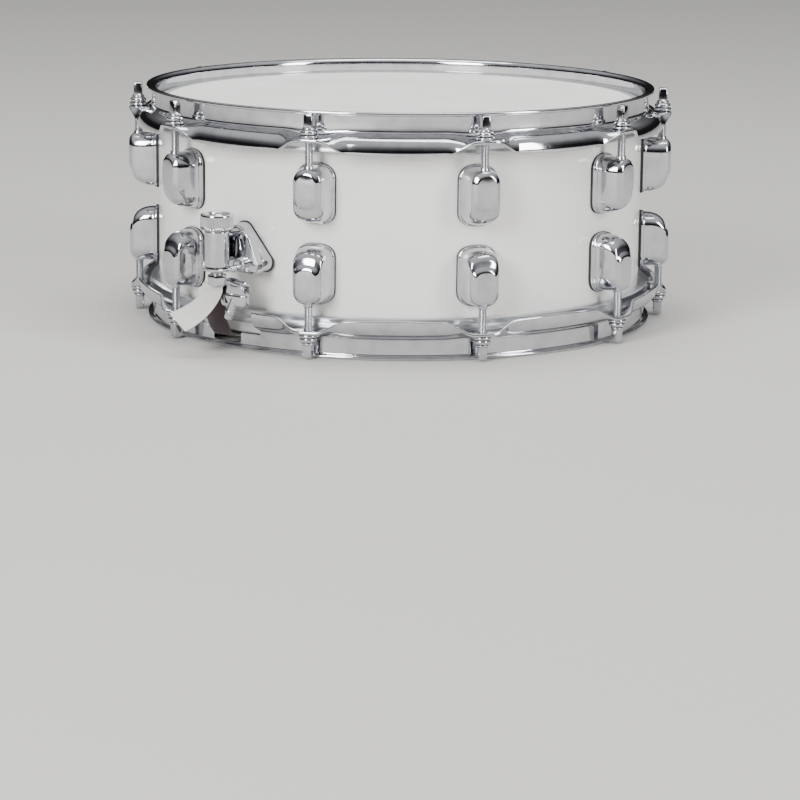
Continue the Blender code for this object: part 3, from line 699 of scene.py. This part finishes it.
def makeLugMesh():
    s = lugSettings
    bm = bmesh.new()
    sections = lugSections()
    first = [bm.verts.new((x, -sections[0][0], z)) for x, z in lugOutline(*sections[0][1:], s["points"])]
    base = bm.faces.new(first)
    ring = base.edges[:]
    current = first
    for section in sections[1:]:
        made = bmesh.ops.extrude_edge_only(bm, edges=ring)
        ring = [e for e in made["geom"] if isinstance(e, bmesh.types.BMEdge)]
        partner = {}
        for edge in bm.edges:
            partner.setdefault(edge.verts[0], []).append(edge.verts[1])
            partner.setdefault(edge.verts[1], []).append(edge.verts[0])
        fresh = set(v for v in made["geom"] if isinstance(v, bmesh.types.BMVert))
        following = [next(v for v in partner[old] if v in fresh) for old in current]
        for vert, (x, z) in zip(following, lugOutline(*section[1:], s["points"])):
            vert.co = (x, -section[0], z)
        current = following
    bm.faces.new(current)
    # the gasket follows the shell's curve under the flange
    gasket = bmesh.new()
    outline = [(x * 1.015, mix(0.0279, z, 1.01)) for x, z in lugOutline(*sections[0][1:], s["points"])]
    face = gasket.faces.new([gasket.verts.new((x, 0.0, z)) for x, z in outline])
    made = bmesh.ops.extrude_face_region(gasket, geom=[face])
    raised = [v for v in made["geom"] if isinstance(v, bmesh.types.BMVert)]
    bmesh.ops.translate(gasket, vec=(0, -s["gasket"], 0), verts=raised)
    raisedSet = set(raised)
    for v in gasket.verts:
        if v not in raisedSet:
            v.co.y = shellRadius - math.sqrt(shellRadius ** 2 - v.co.x ** 2) + 0.0002
    # swivel nut: a short collar that stands out of the rod end, bored for the rod
    nut = bmesh.new()
    collar = [(0.0029, s["top"] - 0.004), (0.0034, s["top"] - 0.004), (0.0034, s["top"] + 0.0018),
              (0.0031, s["top"] + 0.0023), (0.0030, s["top"] + 0.0023), (0.0029, s["top"] + 0.0018),
              (0.0029, s["top"] - 0.004)]
    spinProfile(nut, collar, 32)
    shiftBody(nut, 0, -(drumSettings["rodCircle"] - shellRadius - 0.0003), 0)
    whole = joined((bm, 0), (gasket, 1), (nut, 2))
    shiftBody(whole, 0, -(shellRadius + 0.0003), 0)
    return whole


def setAtRods(body, kind, ending, materials, rider):
    # a finished bmesh copied to all twenty rod places, upside down on the snare side
    pattern = meshFrom(kind, body)
    for label, flip in (("batter", False), ("snare", True)):
        for index, turn in enumerate(rodTurns):
            node = f"{kind}_{label}_{index + 1:02d}"
            bm = bmesh.new()
            bm.from_mesh(pattern)
            moveInto(bm, turn, flip=flip)
            finishPiece(node + ending, bm, materials, rider or node, [node], sharp=38, recalc=False)
    bpy.data.meshes.remove(pattern)


setAtRods(makeLugMesh(), "lug", "_cast", [chromeCast, gasketRubber, nickelSteel], "drum")
print("lugs made")

# ---- tension rods: rolled thread, stacked washers, collar and square head for the key ----
rodSettings = {"thread": 0.00285, "depth": 0.00048, "pitch": 0.00106, "head": 0.0064, "samples": 5}


def makeRodMesh():
    s = rodSettings
    shank = bmesh.new()
    bottom, top = 0.0300, 0.0672
    turns = (top - bottom) / s["pitch"]
    rows = int(turns * s["samples"])
    line = [(s["thread"], bottom + (top - bottom) * i / rows) for i in range(rows + 1)]
    spinProfile(shank, line, 20)
    for v in shank.verts:
        phase = (v.co.z / s["pitch"] - math.atan2(v.co.y, v.co.x) / (2 * math.pi)) % 1.0
        lift = 1 - abs(2 * phase - 1)
        radius = s["thread"] - s["depth"] * (1 - smooth(lift * 1.25))
        scale = radius / s["thread"]
        v.co.x *= scale
        v.co.y *= scale
    bmesh.ops.holes_fill(shank, edges=[e for e in shank.edges if e.is_boundary], sides=0)
    # the rod's own flange, a domed nylon-lined washer and a wide steel washer on the ear
    flange = turnedBody([(0.0, 0.0755), (0.0030, 0.0754), (0.0044, 0.0738), (0.0045, 0.0729), (0.0, 0.0728)],
                        0.0005, 4, 40)
    domed = turnedBody([(0.0, 0.0726), (0.0048, 0.0726), (0.0058, 0.0716), (0.0058, 0.0700), (0.0050, 0.0692),
                        (0.0, 0.0691)], 0.0008, 5, 40)
    wide = turnedBody([(0.0, 0.0690), (0.0060, 0.0690), (0.0065, 0.0686), (0.0065, 0.0676), (0.0061, 0.0670),
                       (0.0, 0.0670)], 0.0006, 4, 40)
    # square key head: slightly tapered, its corners and crown eased
    head = bmesh.new()
    bmesh.ops.create_cube(head, size=1)
    bmesh.ops.scale(head, vec=(s["head"], s["head"], 0.0090), verts=head.verts)
    shiftBody(head, 0, 0, 0.0791)
    for v in head.verts:
        if v.co.z > 0.08:
            v.co.x *= 0.93
            v.co.y *= 0.93
    upright = [e for e in head.edges if abs(e.verts[0].co.z - e.verts[1].co.z) > 0.001]
    easeEdges(head, upright, 0.0008, 3)
    crown = [e for e in head.edges if all(v.co.z > 0.083 for v in e.verts)]
    easeEdges(head, crown, 0.0012, 4)
    whole = joined((shank, 1), (flange, 0), (domed, 0), (wide, 0), (head, 0))
    shiftBody(whole, 0, -drumSettings["rodCircle"], 0)
    return whole


setAtRods(makeRodMesh(), "rod", "_turned", [chromeSheet, nickelSteel], None)
print("rods made")

# ---- strainer ----
strainer = {
    "turn": drumSettings["strainerTurn"],
    "seat": shellRadius + 0.0003,
    "baseDepth": 0.0105,
    "leverDepth": 0.0066,
    "pivot": (0.0105, -0.0228),
    "axis": 0.208,
    "barrel": 0.0085,
    "knob": 0.0114,
    "barrelTop": 0.0016,
    "barrelLow": -0.0238,
    "hexTop": -0.0289,
    "hexLow": -0.0362,
}


def makeStrainerBase():
    s = strainer
    outline = (arcPoints(0.0175, -0.0225, 0.0065, -90, 30, 12) + arcPoints(-0.0005, -0.0040, 0.0080, 35, 145,
                                                                           16)
               + arcPoints(-0.0185, -0.0225, 0.0065, 150, 270, 12))
    bm = outlineBody(outline, s["baseDepth"], inset=0.0016, bevel=0.0022, segments=6)
    gasket = outlineBody([(x * 1.025, mix(-0.0130, z, 1.03)) for x, z in outline], 0.0008, bevel=0.0002,
                         segments=1)
    whole = joined((bm, 0), (gasket, 1))
    moveInto(whole, s["turn"], shift=(0, -s["seat"], 0))
    finishPiece("strainer_base_cast", whole, [chromeCast, gasketRubber], "drum", ["strainer_base"],
                       sharp=35)


def makeLever():
    s = strainer
    px, pz = s["pivot"]
    inner = s["seat"] + s["baseDepth"] + 0.0003
    outline = (arcPoints(0.0000, 0.0170, 0.0062, 10, 180, 20) + arcPoints(-0.0006, 0.0000, 0.0064, 180, 270,
                                                                          12)
               + arcPoints(0.0080, -0.0010, 0.0054, -90, 35, 14))
    bm = outlineBody(outline, s["leverDepth"], inset=0.0005, bevel=0.0013, segments=5)
    moveInto(bm, s["turn"], shift=(px, -inner, pz))
    lever = finishPiece("strainer_lever_cast", bm, [chromeCast, nickelSteel], "lever", ["strainer_lever"],
                        sharp=35)
    # teardrop finger recess with a bowl-shaped floor, pressed into the upright wing
    drop = (arcPoints(0.0001, 0.0178, 0.0038, -10, 190, 20) + arcPoints(0.0001, 0.0080, 0.0012, 200, 340, 8))
    recess = outlineBody(drop, -0.006, inset=0.0006, bevel=0.0021, segments=8)
    moveInto(recess, s["turn"], shift=(px, -(inner + s["leverDepth"] - 0.0026 + 0.006), pz))
    cutWith(lever, [recess], 35)
    # pivot boss with a slotted spring cap, riding on the lever
    profile = [(0.0, 0.0012), (0.0020, 0.0012), (0.0022, 0.0022), (0.0030, 0.0024), (0.0033, 0.0046),
               (0.0044, 0.0048),
               (0.0050, 0.0040), (0.0052, 0.0), (0.0, 0.0)]
    ring = turnedBody(profile, 0.0004, 3, 40)
    teeth = [v for v in ring.verts if math.hypot(v.co.x, v.co.y) > 0.0046]
    for v in teeth:
        wave = 0.5 + 0.5 * math.cos(20 * math.atan2(v.co.y, v.co.x))
        v.co.x *= 1 - 0.05 * wave
        v.co.y *= 1 - 0.05 * wave
    turnBody(ring, math.pi / 2, "X")
    moveInto(ring, s["turn"], shift=(px, -(inner + s["leverDepth"] - 0.0004), pz))
    finishPiece("lever_pivot_cap", ring, [nickelSteel], "lever", sharp=35)


def makeCarriage():
    s = strainer
    profile = [(0.0, s["barrelTop"]), (s["barrel"] - 0.0008, s["barrelTop"]),
               (s["barrel"], s["barrelTop"] - 0.0006),
               (s["barrel"], s["barrelLow"] + 0.0007), (s["barrel"] - 0.0007, s["barrelLow"]),
               (0.0050, s["barrelLow"]),
               (0.0050, -0.0090), (0.0, -0.0090)]
    barrel = turnedBody(profile, 0.0006, 4, 72)
    yoke = bmesh.new()
    ringProfile = [(0.0050, -0.0242), (0.0098, -0.0242), (0.0103, -0.0247), (0.0103, -0.0256),
                   (0.0098, -0.0260),
                   (0.0050, -0.0260)]
    spinProfile(yoke, ringProfile, 72, closed=True)
    parts = [(barrel, 0), (yoke, 0)]
    for side in (-1, 1):
        ball = bmesh.new()
        bmesh.ops.create_uvsphere(ball, u_segments=28, v_segments=18, radius=0.0023)
        shiftBody(ball, side * 0.0130, 0.0020, -0.0240)
        pin = roundBar(0.0011, 0.0060, 20)
        turnBody(pin, math.pi / 2, "Y")
        shiftBody(pin, side * 0.0100, 0.0020, -0.0244)
        parts += [(ball, 0), (pin, 0)]
    inner = s["seat"] + s["baseDepth"] + 0.0003
    outer = s["axis"] - s["barrel"] + 0.0025
    post = boxBody((0.0090, outer - inner, 0.0190), (-0.0035, s["axis"] - (inner + outer) / 2, -0.0120),
                   bevel=0.0012,
                   segments=4)
    parts.append((post, 0))
    whole = joined(*parts)
    moveInto(whole, s["turn"], shift=(0, -s["axis"], 0))
    finishPiece("strainer_carriage_turned", whole, [chromeCast], "carriage", ["strainer_carriage"],
                       sharp=35, recalc=False)


def makeKnob():
    s = strainer
    radius = s["knob"]
    # dished top, rounded rim, then the knurled band down to a small chamfer
    rim = roundedChain([(radius - 0.0036, 0.0113), (radius - 0.0022, 0.0129), (radius - 0.0004, 0.0130),
                        (radius, 0.0114)], [0.0006, 0.0011], 5)
    band = [(radius, z / 10000) for z in (112, 109, 106, 103, 98, 85, 70, 55, 46, 42, 39, 36, 33, 30)]
    line = [(0.0, 0.0111), (radius - 0.0046, 0.0111)] + rim + band + [(radius - 0.0003, 0.0024),
                                                                      (radius - 0.0008, 0.0020),
                                                                       (0.0, 0.0020)]
    bm = bmesh.new()
    spinProfile(bm, line, 240)
    for v in bm.verts:
        # 40 upright ribs that run out before the rim and the chamfer
        if math.hypot(v.co.x, v.co.y) > radius - 0.0002 and 0.0030 < v.co.z < 0.0114:
            rib = 0.5 + 0.5 * math.cos(40 * math.atan2(v.co.y, v.co.x))
            fade = smooth((v.co.z - 0.0030) / 0.0014) * smooth((0.0114 - v.co.z) / 0.0014)
            v.co.x *= 1 - 0.050 * rib * fade
            v.co.y *= 1 - 0.050 * rib * fade
    moveInto(bm, s["turn"], shift=(0, -s["axis"], 0))
    finishPiece("strainer_knob_knurled", bm, [chromeSheet], "knob", ["strainer_knob"],
                sharp=30)


def makeSpindle():
    s = strainer
    neck = bmesh.new()
    pitch, bottom, top, radius = 0.0010, s["hexTop"] - 0.0008, -0.0125, 0.0045
    rows = int((top - bottom) / pitch * 6)
    spinProfile(neck, [(radius, bottom + (top - bottom) * i / rows) for i in range(rows + 1)], 36)
    for v in neck.verts:
        phase = (v.co.z / pitch - math.atan2(v.co.y, v.co.x) / (2 * math.pi)) % 1.0
        scale = 1 - 0.09 * (1 - smooth((1 - abs(2 * phase - 1)) * 1.25))
        v.co.x *= scale
        v.co.y *= scale
    bmesh.ops.holes_fill(neck, edges=[e for e in neck.edges if e.is_boundary], sides=0)
    block = roundBar(0.0060 / math.cos(math.pi / 6), s["hexTop"] - s["hexLow"], 6)
    turnBody(block, math.radians(30), "Z")
    shiftBody(block, 0, 0, (s["hexTop"] + s["hexLow"]) / 2)
    easeEdges(block, block.edges[:], 0.0005, 3)
    whole = joined((neck, 1), (block, 0))
    moveInto(whole, s["turn"], shift=(0, -s["axis"], 0))
    finishPiece("strainer_spindle_threaded", whole, [chromeSheet, nickelSteel], "spindle",
                ["strainer_spindle"],
                       sharp=35, recalc=False)


def makeClamp():
    s = strainer
    barTop = s["hexLow"] - 0.0012
    barLow = barTop - 0.0040
    outline = ([(-0.0100, barTop), (0.0072, barTop)] + arcPoints(0.0092, -0.0340, 0.0020, 180, 90, 5)
               + arcPoints(0.0172, -0.0390, 0.0050, 80, 0, 9) + arcPoints(0.0192, -0.0470, 0.0030, 0, -90, 7)
               + arcPoints(0.0050, -0.0475, 0.0030, -90, -180, 7) + [(0.0020, barLow), (-0.0100, barLow)])
    arm = outlineBody(outline, 0.0030, bevel=0.0007, segments=3)
    shiftBody(arm, 0, -(0.2055 - 0.0018), 0)
    # bent strip from the hexagon out to the block, its broad side up
    upperSide = [(0.0058, -0.0315), (0.0100, -0.0318), (0.0150, -0.0332)] + arcPoints(0.0176, -0.0372,
                                                                                      0.0040, 75, 0, 7)
    lowerSide = [(0.0216, -0.0410), (0.0196, -0.0410)] + arcPoints(0.0172, -0.0374, 0.0022, 0, 75, 6) + [
        (0.0144, -0.0354), (0.0100, -0.0341), (0.0058, -0.0338)]
    strip = outlineBody(upperSide + lowerSide, 0.0080, bevel=0.0005, segments=2)
    shiftBody(strip, 0, -0.1998, 0)
    block = boxBody((0.0186, 0.0078, 0.0100), (0.0134, -0.2037, -0.0455), bevel=0.0026, segments=6)
    profile = [(0.0, 0.0080), (0.0034, 0.0080), (0.0034, -0.0012), (0.0038, -0.0020), (0.0038, -0.0034),
               (0.0030, -0.0040),
               (0.0030, -0.0076), (0.0024, -0.0082), (0.0, -0.0082)]
    screw = turnedBody(profile, 0.0004, 3, 32)
    turnBody(screw, math.radians(24), "Y")
    shiftBody(screw, 0.0100, -0.2045, -0.0520)
    whole = joined((arm, 0), (strip, 0), (block, 0), (screw, 1))
    moveInto(whole, s["turn"])
    finishPiece("strap_clamp_steel", whole, [chromeSheet, nickelSteel], "spindle", ["strap_clamp"],
                       sharp=35, recalc=False)


makeStrainerBase()
makeLever()
makeCarriage()
makeKnob()
makeSpindle()
makeClamp()
print("strainer made")

# ---- straps: each station is across, out, up, and the lean of the ribbon's width ----
strapSettings = {"width": 0.018, "sheet": 0.0006}
barBack, barFront = 0.2029, 0.2081
runRoute = [
    (0.0, 0.1330, -0.0773, 0.0), (-0.0060, 0.1600, -0.0773, 0.0), (-0.0120, 0.1780, -0.0773, 0.0),
    (-0.0135, 0.1850, -0.0752, 0.0), (-0.0120, 0.1935, -0.0650, 0.0), (-0.0090, 0.1990, -0.0540, 0.0),
    (-0.0060, barBack - 0.0007, -0.0424, 0.0), (-0.0050, barBack - 0.0007, -0.0390, 0.0),
]
tailRoute = [
    (-0.0055, barBack, -0.0418, 0.0), (-0.0040, barBack, -0.0372, 0.0), (-0.0038, 0.2055, -0.0367, 0.0),
    (-0.0036, barFront, -0.0372, 0.0), (-0.0040, barFront, -0.0414, 0.0), (-0.0052, 0.2118, -0.0470, -0.12),
    (-0.0078, 0.2180, -0.0530, -0.34), (-0.0116, 0.2256, -0.0580, -0.58), (-0.0155, 0.2318, -0.0612, -0.74),
]
buttRoute = [
    (0.0, 0.1330, -0.0773, 0.0), (0.0, 0.1780, -0.0773, 0.0), (0.0, 0.1845, -0.0752, 0.0),
    (0.0, 0.1880, -0.0640, 0.0),
    (0.0, 0.1904, -0.0540, 0.0), (0.0, 0.1900, -0.0500, 0.0), (0.0, 0.1900, -0.0360, 0.0),
]


def curvedRoute(route, pieces):
    # the route's own points joined by a smooth curve through them
    out = []
    for i in range(len(route) - 1):
        p = [Vector(route[max(0, min(len(route) - 1, i + k))]) for k in (-1, 0, 1, 2)]
        for k in range(pieces):
            t = k / pieces
            out.append(0.5 * (2 * p[1] + (p[2] - p[0]) * t + (2 * p[0] - 5 * p[1] + 4 * p[2] - p[3]) * t * t
                              + (3 * p[1] - p[0] - 3 * p[2] + p[3]) * t ** 3))
    out.append(Vector(route[-1]))
    return out


def makeStrap(name, route, turn, body, nodes):
    s = strapSettings
    bm = bmesh.new()
    uv = bm.loops.layers.uv.new("ribbonWeave")
    columns = 9
    stations = curvedRoute(route, 6)
    length = 0.0
    rows = []
    for index, (across, out, up, lean) in enumerate(stations):
        if index:
            length += (Vector((across, out, up)) - Vector(stations[index - 1][:3])).length
        size = math.hypot(1, lean)
        row = []
        for k in range(columns):
            share = k / (columns - 1) - 0.5
            reach = share * s["width"]
            vert = bm.verts.new((across + reach / size, -out, up + reach * lean / size))
            row.append((vert, share * s["width"], length))
        rows.append(row)
    for lower, upper in zip(rows, rows[1:]):
        for k in range(columns - 1):
            corners = (lower[k], lower[k + 1], upper[k + 1], upper[k])
            face = bm.faces.new([c[0] for c in corners])
            for loop, corner in zip(face.loops, corners):
                loop[uv].uv = (corner[1] / 0.18, corner[2] / 0.18)
    bmesh.ops.recalc_face_normals(bm, faces=bm.faces)
    # behind the bar the painted-shade face looks away from the shell and the white one towards it, so the run
    # shows painted shade and the tail, past the fold, shows the white face
    near = [f for f in bm.faces if f.calc_center_median().z > -0.06 and f.calc_center_median().y > -0.204]
    if sum(f.normal.y for f in near) > 0:
        bmesh.ops.reverse_faces(bm, faces=bm.faces)
    made = bmesh.ops.solidify(bm, geom=bm.faces[:], thickness=s["sheet"])
    fresh = set(f for f in made["geom"] if isinstance(f, bmesh.types.BMFace))
    bm.normal_update()
    for face in bm.faces:
        face.material_index = 1 if face in fresh else 0
    moveInto(bm, turn)
    strap = finishPiece(name, bm, [ribbonPaintedShade, whiteRibbon], body, nodes, sharp=60)
    return strap, length


# the ribbon's run stays with the drum; its fold over the bar and the free tail go with the clamp
strapRun, runLength = makeStrap("strap_strainer_woven", runRoute, strainer["turn"], "drum",
                                ["strap_strainer"])
tailLength = makeStrap("strap_tail_woven", tailRoute, strainer["turn"], "spindle", [])[1]
buttLength = makeStrap("strap_butt_woven", buttRoute, drumSettings["buttTurn"], "drum", ["strap_butt"])[1]
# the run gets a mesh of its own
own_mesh(strapRun)
print("straps made", round(runLength, 4), round(tailLength, 4), round(buttLength, 4))

# ---- snare wires: twenty coiled strands soldered to two end plates ----
wireSettings = {"strands": 20, "pitch": 0.00225, "coil": 0.00072, "wire": 0.00022, "half": 0.130,
                "plate": 0.016,
                "level": -0.0761, "turnLength": 0.00155, "sides": 4, "perTurn": 7}


def makeWires():
    s = wireSettings
    span = 2 * (s["half"] - s["plate"] + 0.003)
    turns = span / s["turnLength"]
    strand = bmesh.new()
    bmesh.ops.create_circle(strand, segments=s["sides"], radius=s["wire"], cap_ends=False)
    shiftBody(strand, s["coil"], 0, 0)
    # the little circle stands across the coil's path, then winds along the strand
    bmesh.ops.rotate(strand, cent=(s["coil"], 0, 0), matrix=Matrix.Rotation(math.pi / 2, 3, "X"),
                     verts=strand.verts)
    steps = int(turns * s["perTurn"])
    bmesh.ops.spin(strand, geom=strand.verts[:] + strand.edges[:], cent=(0, 0, 0), axis=(0, 0, 1),
                   dvec=(0, 0, span / steps), angle=turns * 2 * math.pi, steps=steps, use_merge=False,
                   use_duplicate=False)
    shiftBody(strand, 0, 0, -span / 2)
    turnBody(strand, math.pi / 2, "X")
    bmesh.ops.recalc_face_normals(strand, faces=strand.faces)
    pattern = meshFrom("strand", strand)
    first = -(s["strands"] - 1) / 2 * s["pitch"]
    for part in range(2):
        bm = bmesh.new()
        for index in range(part * 10, part * 10 + 10):
            start = len(bm.verts)
            bm.from_mesh(pattern)
            bm.verts.ensure_lookup_table()
            bmesh.ops.translate(bm, vec=(first + index * s["pitch"], 0, s["level"]), verts=bm.verts[start:])
        moveInto(bm, drumSettings["strainerTurn"])
        finishPiece(f"snare_strands_{part + 1}", bm, [springSteel], "drum",
                    ["snare_wires"] if part == 0 else (), sharp=70, weld=0.0, recalc=False)
    bpy.data.meshes.remove(pattern)
    # end plates: a flat strip with a raised bead along its inner edge
    halfSpan = s["pitch"] * s["strands"] / 2
    parts = []
    for side in (-1, 1):
        plate = boxBody((2 * halfSpan, s["plate"], 0.0016),
                        (0, side * (s["half"] - s["plate"] / 2), s["level"] - 0.00005),
                        bevel=0.0004, segments=3)
        bead = boxBody((2 * halfSpan - 0.001, 0.0020, 0.0019),
                       (0, side * (s["half"] - s["plate"] + 0.0012), s["level"] - 0.00005),
                       bevel=0.0007, segments=3)
        parts += [(plate, 0), (bead, 0)]
    whole = joined(*parts)
    moveInto(whole, drumSettings["strainerTurn"])
    finishPiece("snare_end_plates", whole, [nickelSteel], "drum", sharp=35, recalc=False)


makeWires()
print("snare wires made")

# ---- butt plate and its clamp ----
buttSettings = {"depth": 0.0125, "turn": drumSettings["buttTurn"]}


def makeButt():
    s = buttSettings
    seat = strainer["seat"]
    outline = (arcPoints(0.0160, -0.0500, 0.0040, -90, 0, 8) + arcPoints(0.0140, -0.0250, 0.0060, 0, 90, 10)
               + arcPoints(-0.0140, -0.0250, 0.0060, 90, 180, 10) + arcPoints(-0.0160, -0.0500, 0.0040, 180,
                                                                              270, 8))
    casting = outlineBody(outline, s["depth"], inset=0.0012, bevel=0.0024, segments=6)
    gasket = outlineBody([(x * 1.03, mix(-0.0370, z, 1.03)) for x, z in outline], 0.0008, bevel=0.0002,
                         segments=1)
    whole = joined((casting, 0), (gasket, 1))
    moveInto(whole, s["turn"], shift=(0, -seat, 0))
    finishPiece("butt_plate_cast", whole, [chromeCast, gasketRubber], "drum", ["butt_plate"],
                sharp=35,
                recalc=False)
    face = seat + s["depth"]
    bar = boxBody((0.0340, 0.0044, 0.0100), (0, -(face + 0.0036), -0.0440), bevel=0.0010, segments=4)
    parts = [(bar, 0)]
    for side in (-1, 1):
        profile = [(0.0, 0.0030), (0.0016, 0.0030), (0.0026, 0.0026), (0.0032, 0.0014), (0.0032, 0.0),
                   (0.0, 0.0)]
        head = turnedBody(profile, 0.0004, 3, 36)
        turnBody(head, math.pi / 2, "X")
        shiftBody(head, side * 0.0128, -(face + 0.0056), -0.0440)
        parts.append((head, 1))
    whole = joined(*parts)
    moveInto(whole, s["turn"])
    finishPiece("butt_clamp_bar", whole, [chromeSheet, nickelSteel], "drum", ["butt_clamp"],
                       sharp=35, recalc=False)


makeButt()
print("butt made")

# ---- floor, light and camera ----
stageSettings = {
    "floor": "#c6c4c1",
    "sky": [(0.0, "#1c1b1d"), (0.16, "#232224"), (0.34, "#6f6f72"), (0.60, "#c9cacc"), (1.0, "#f2f2f2")],
    "lights": (
        ("softKey", (-1.5, -2.4, 1.35), (1.0, 1.6), 104.0, (0, 0, 0.08)),
        ("softFill", (2.2, -1.5, 1.0), (0.6, 1.5), 48.0, (0, 0, 0.08)),
        ("softTop", (0.1, 0.2, 2.4), (2.2, 1.2), 44.0, (0, 0, 0.1)),
    ),
    "cameraPlace": (0.02308, -2.16898, 0.40427),
    "cameraAim": (0.00197, 0.0, -0.06732),
    "cameraRoll": 0.01016,
    "lens": 133.727,
}


def makeStage():
    s = stageSettings
    bm = bmesh.new()
    bmesh.ops.create_grid(bm, x_segments=1, y_segments=1, size=6.0)
    shiftBody(bm, 0, 0, -0.0002)
    floor = newObject("floor", meshFrom("floor", bm))
    paint, _ = newMaterial("matteStudioFloor", s["floor"], 0.85)
    floor.data.materials.append(paint)
    # overhead light that falls off to a dark wall near the horizon, which shows the plated parts' form
    world = bpy.data.worlds.new("studio")
    world.use_nodes = True
    direction = addNode(world, "ShaderNodeTexCoord")
    height = addNode(world, "ShaderNodeSeparateXYZ", None, {"Vector": direction.outputs["Generated"]})
    sky = addNode(world, "ShaderNodeValToRGB", None, {"Fac": height.outputs["Z"]})
    setRamp(sky, s["sky"])
    background = world.node_tree.nodes["Background"]
    background.inputs["Strength"].default_value = 1.0
    connect(world, sky.outputs["Color"], background.inputs["Color"])
    bpy.context.scene.world = world
    for name, place, size, power, aim in s["lights"]:
        light = bpy.data.lights.new(name, "AREA")
        light.shape = "RECTANGLE"
        light.size, light.size_y = size
        light.energy = power
        lamp = newObject(name, light)
        lamp.location = place
        lamp.rotation_euler = (Vector(aim) - Vector(place)).to_track_quat("-Z", "Y").to_euler()
    camera = bpy.data.cameras.new("camera")
    camera.lens = s["lens"]
    camera.sensor_width = 36.0
    camera.clip_end = 50.0
    viewer = newObject("camera", camera)
    place, aim = Vector(s["cameraPlace"]), Vector(s["cameraAim"])
    back = (place - aim).normalized()
    right = Vector((0, 0, 1)).cross(back).normalized()
    up = back.cross(right)
    roll = s["cameraRoll"]
    tilted = right * math.cos(roll) + up * math.sin(roll)
    raised = up * math.cos(roll) - right * math.sin(roll)
    turn = Matrix((tilted, raised, back)).transposed()
    viewer.matrix_world = Matrix.Translation(place) @ turn.to_4x4()
    bpy.context.scene.camera = viewer


makeStage()
print("stage made")
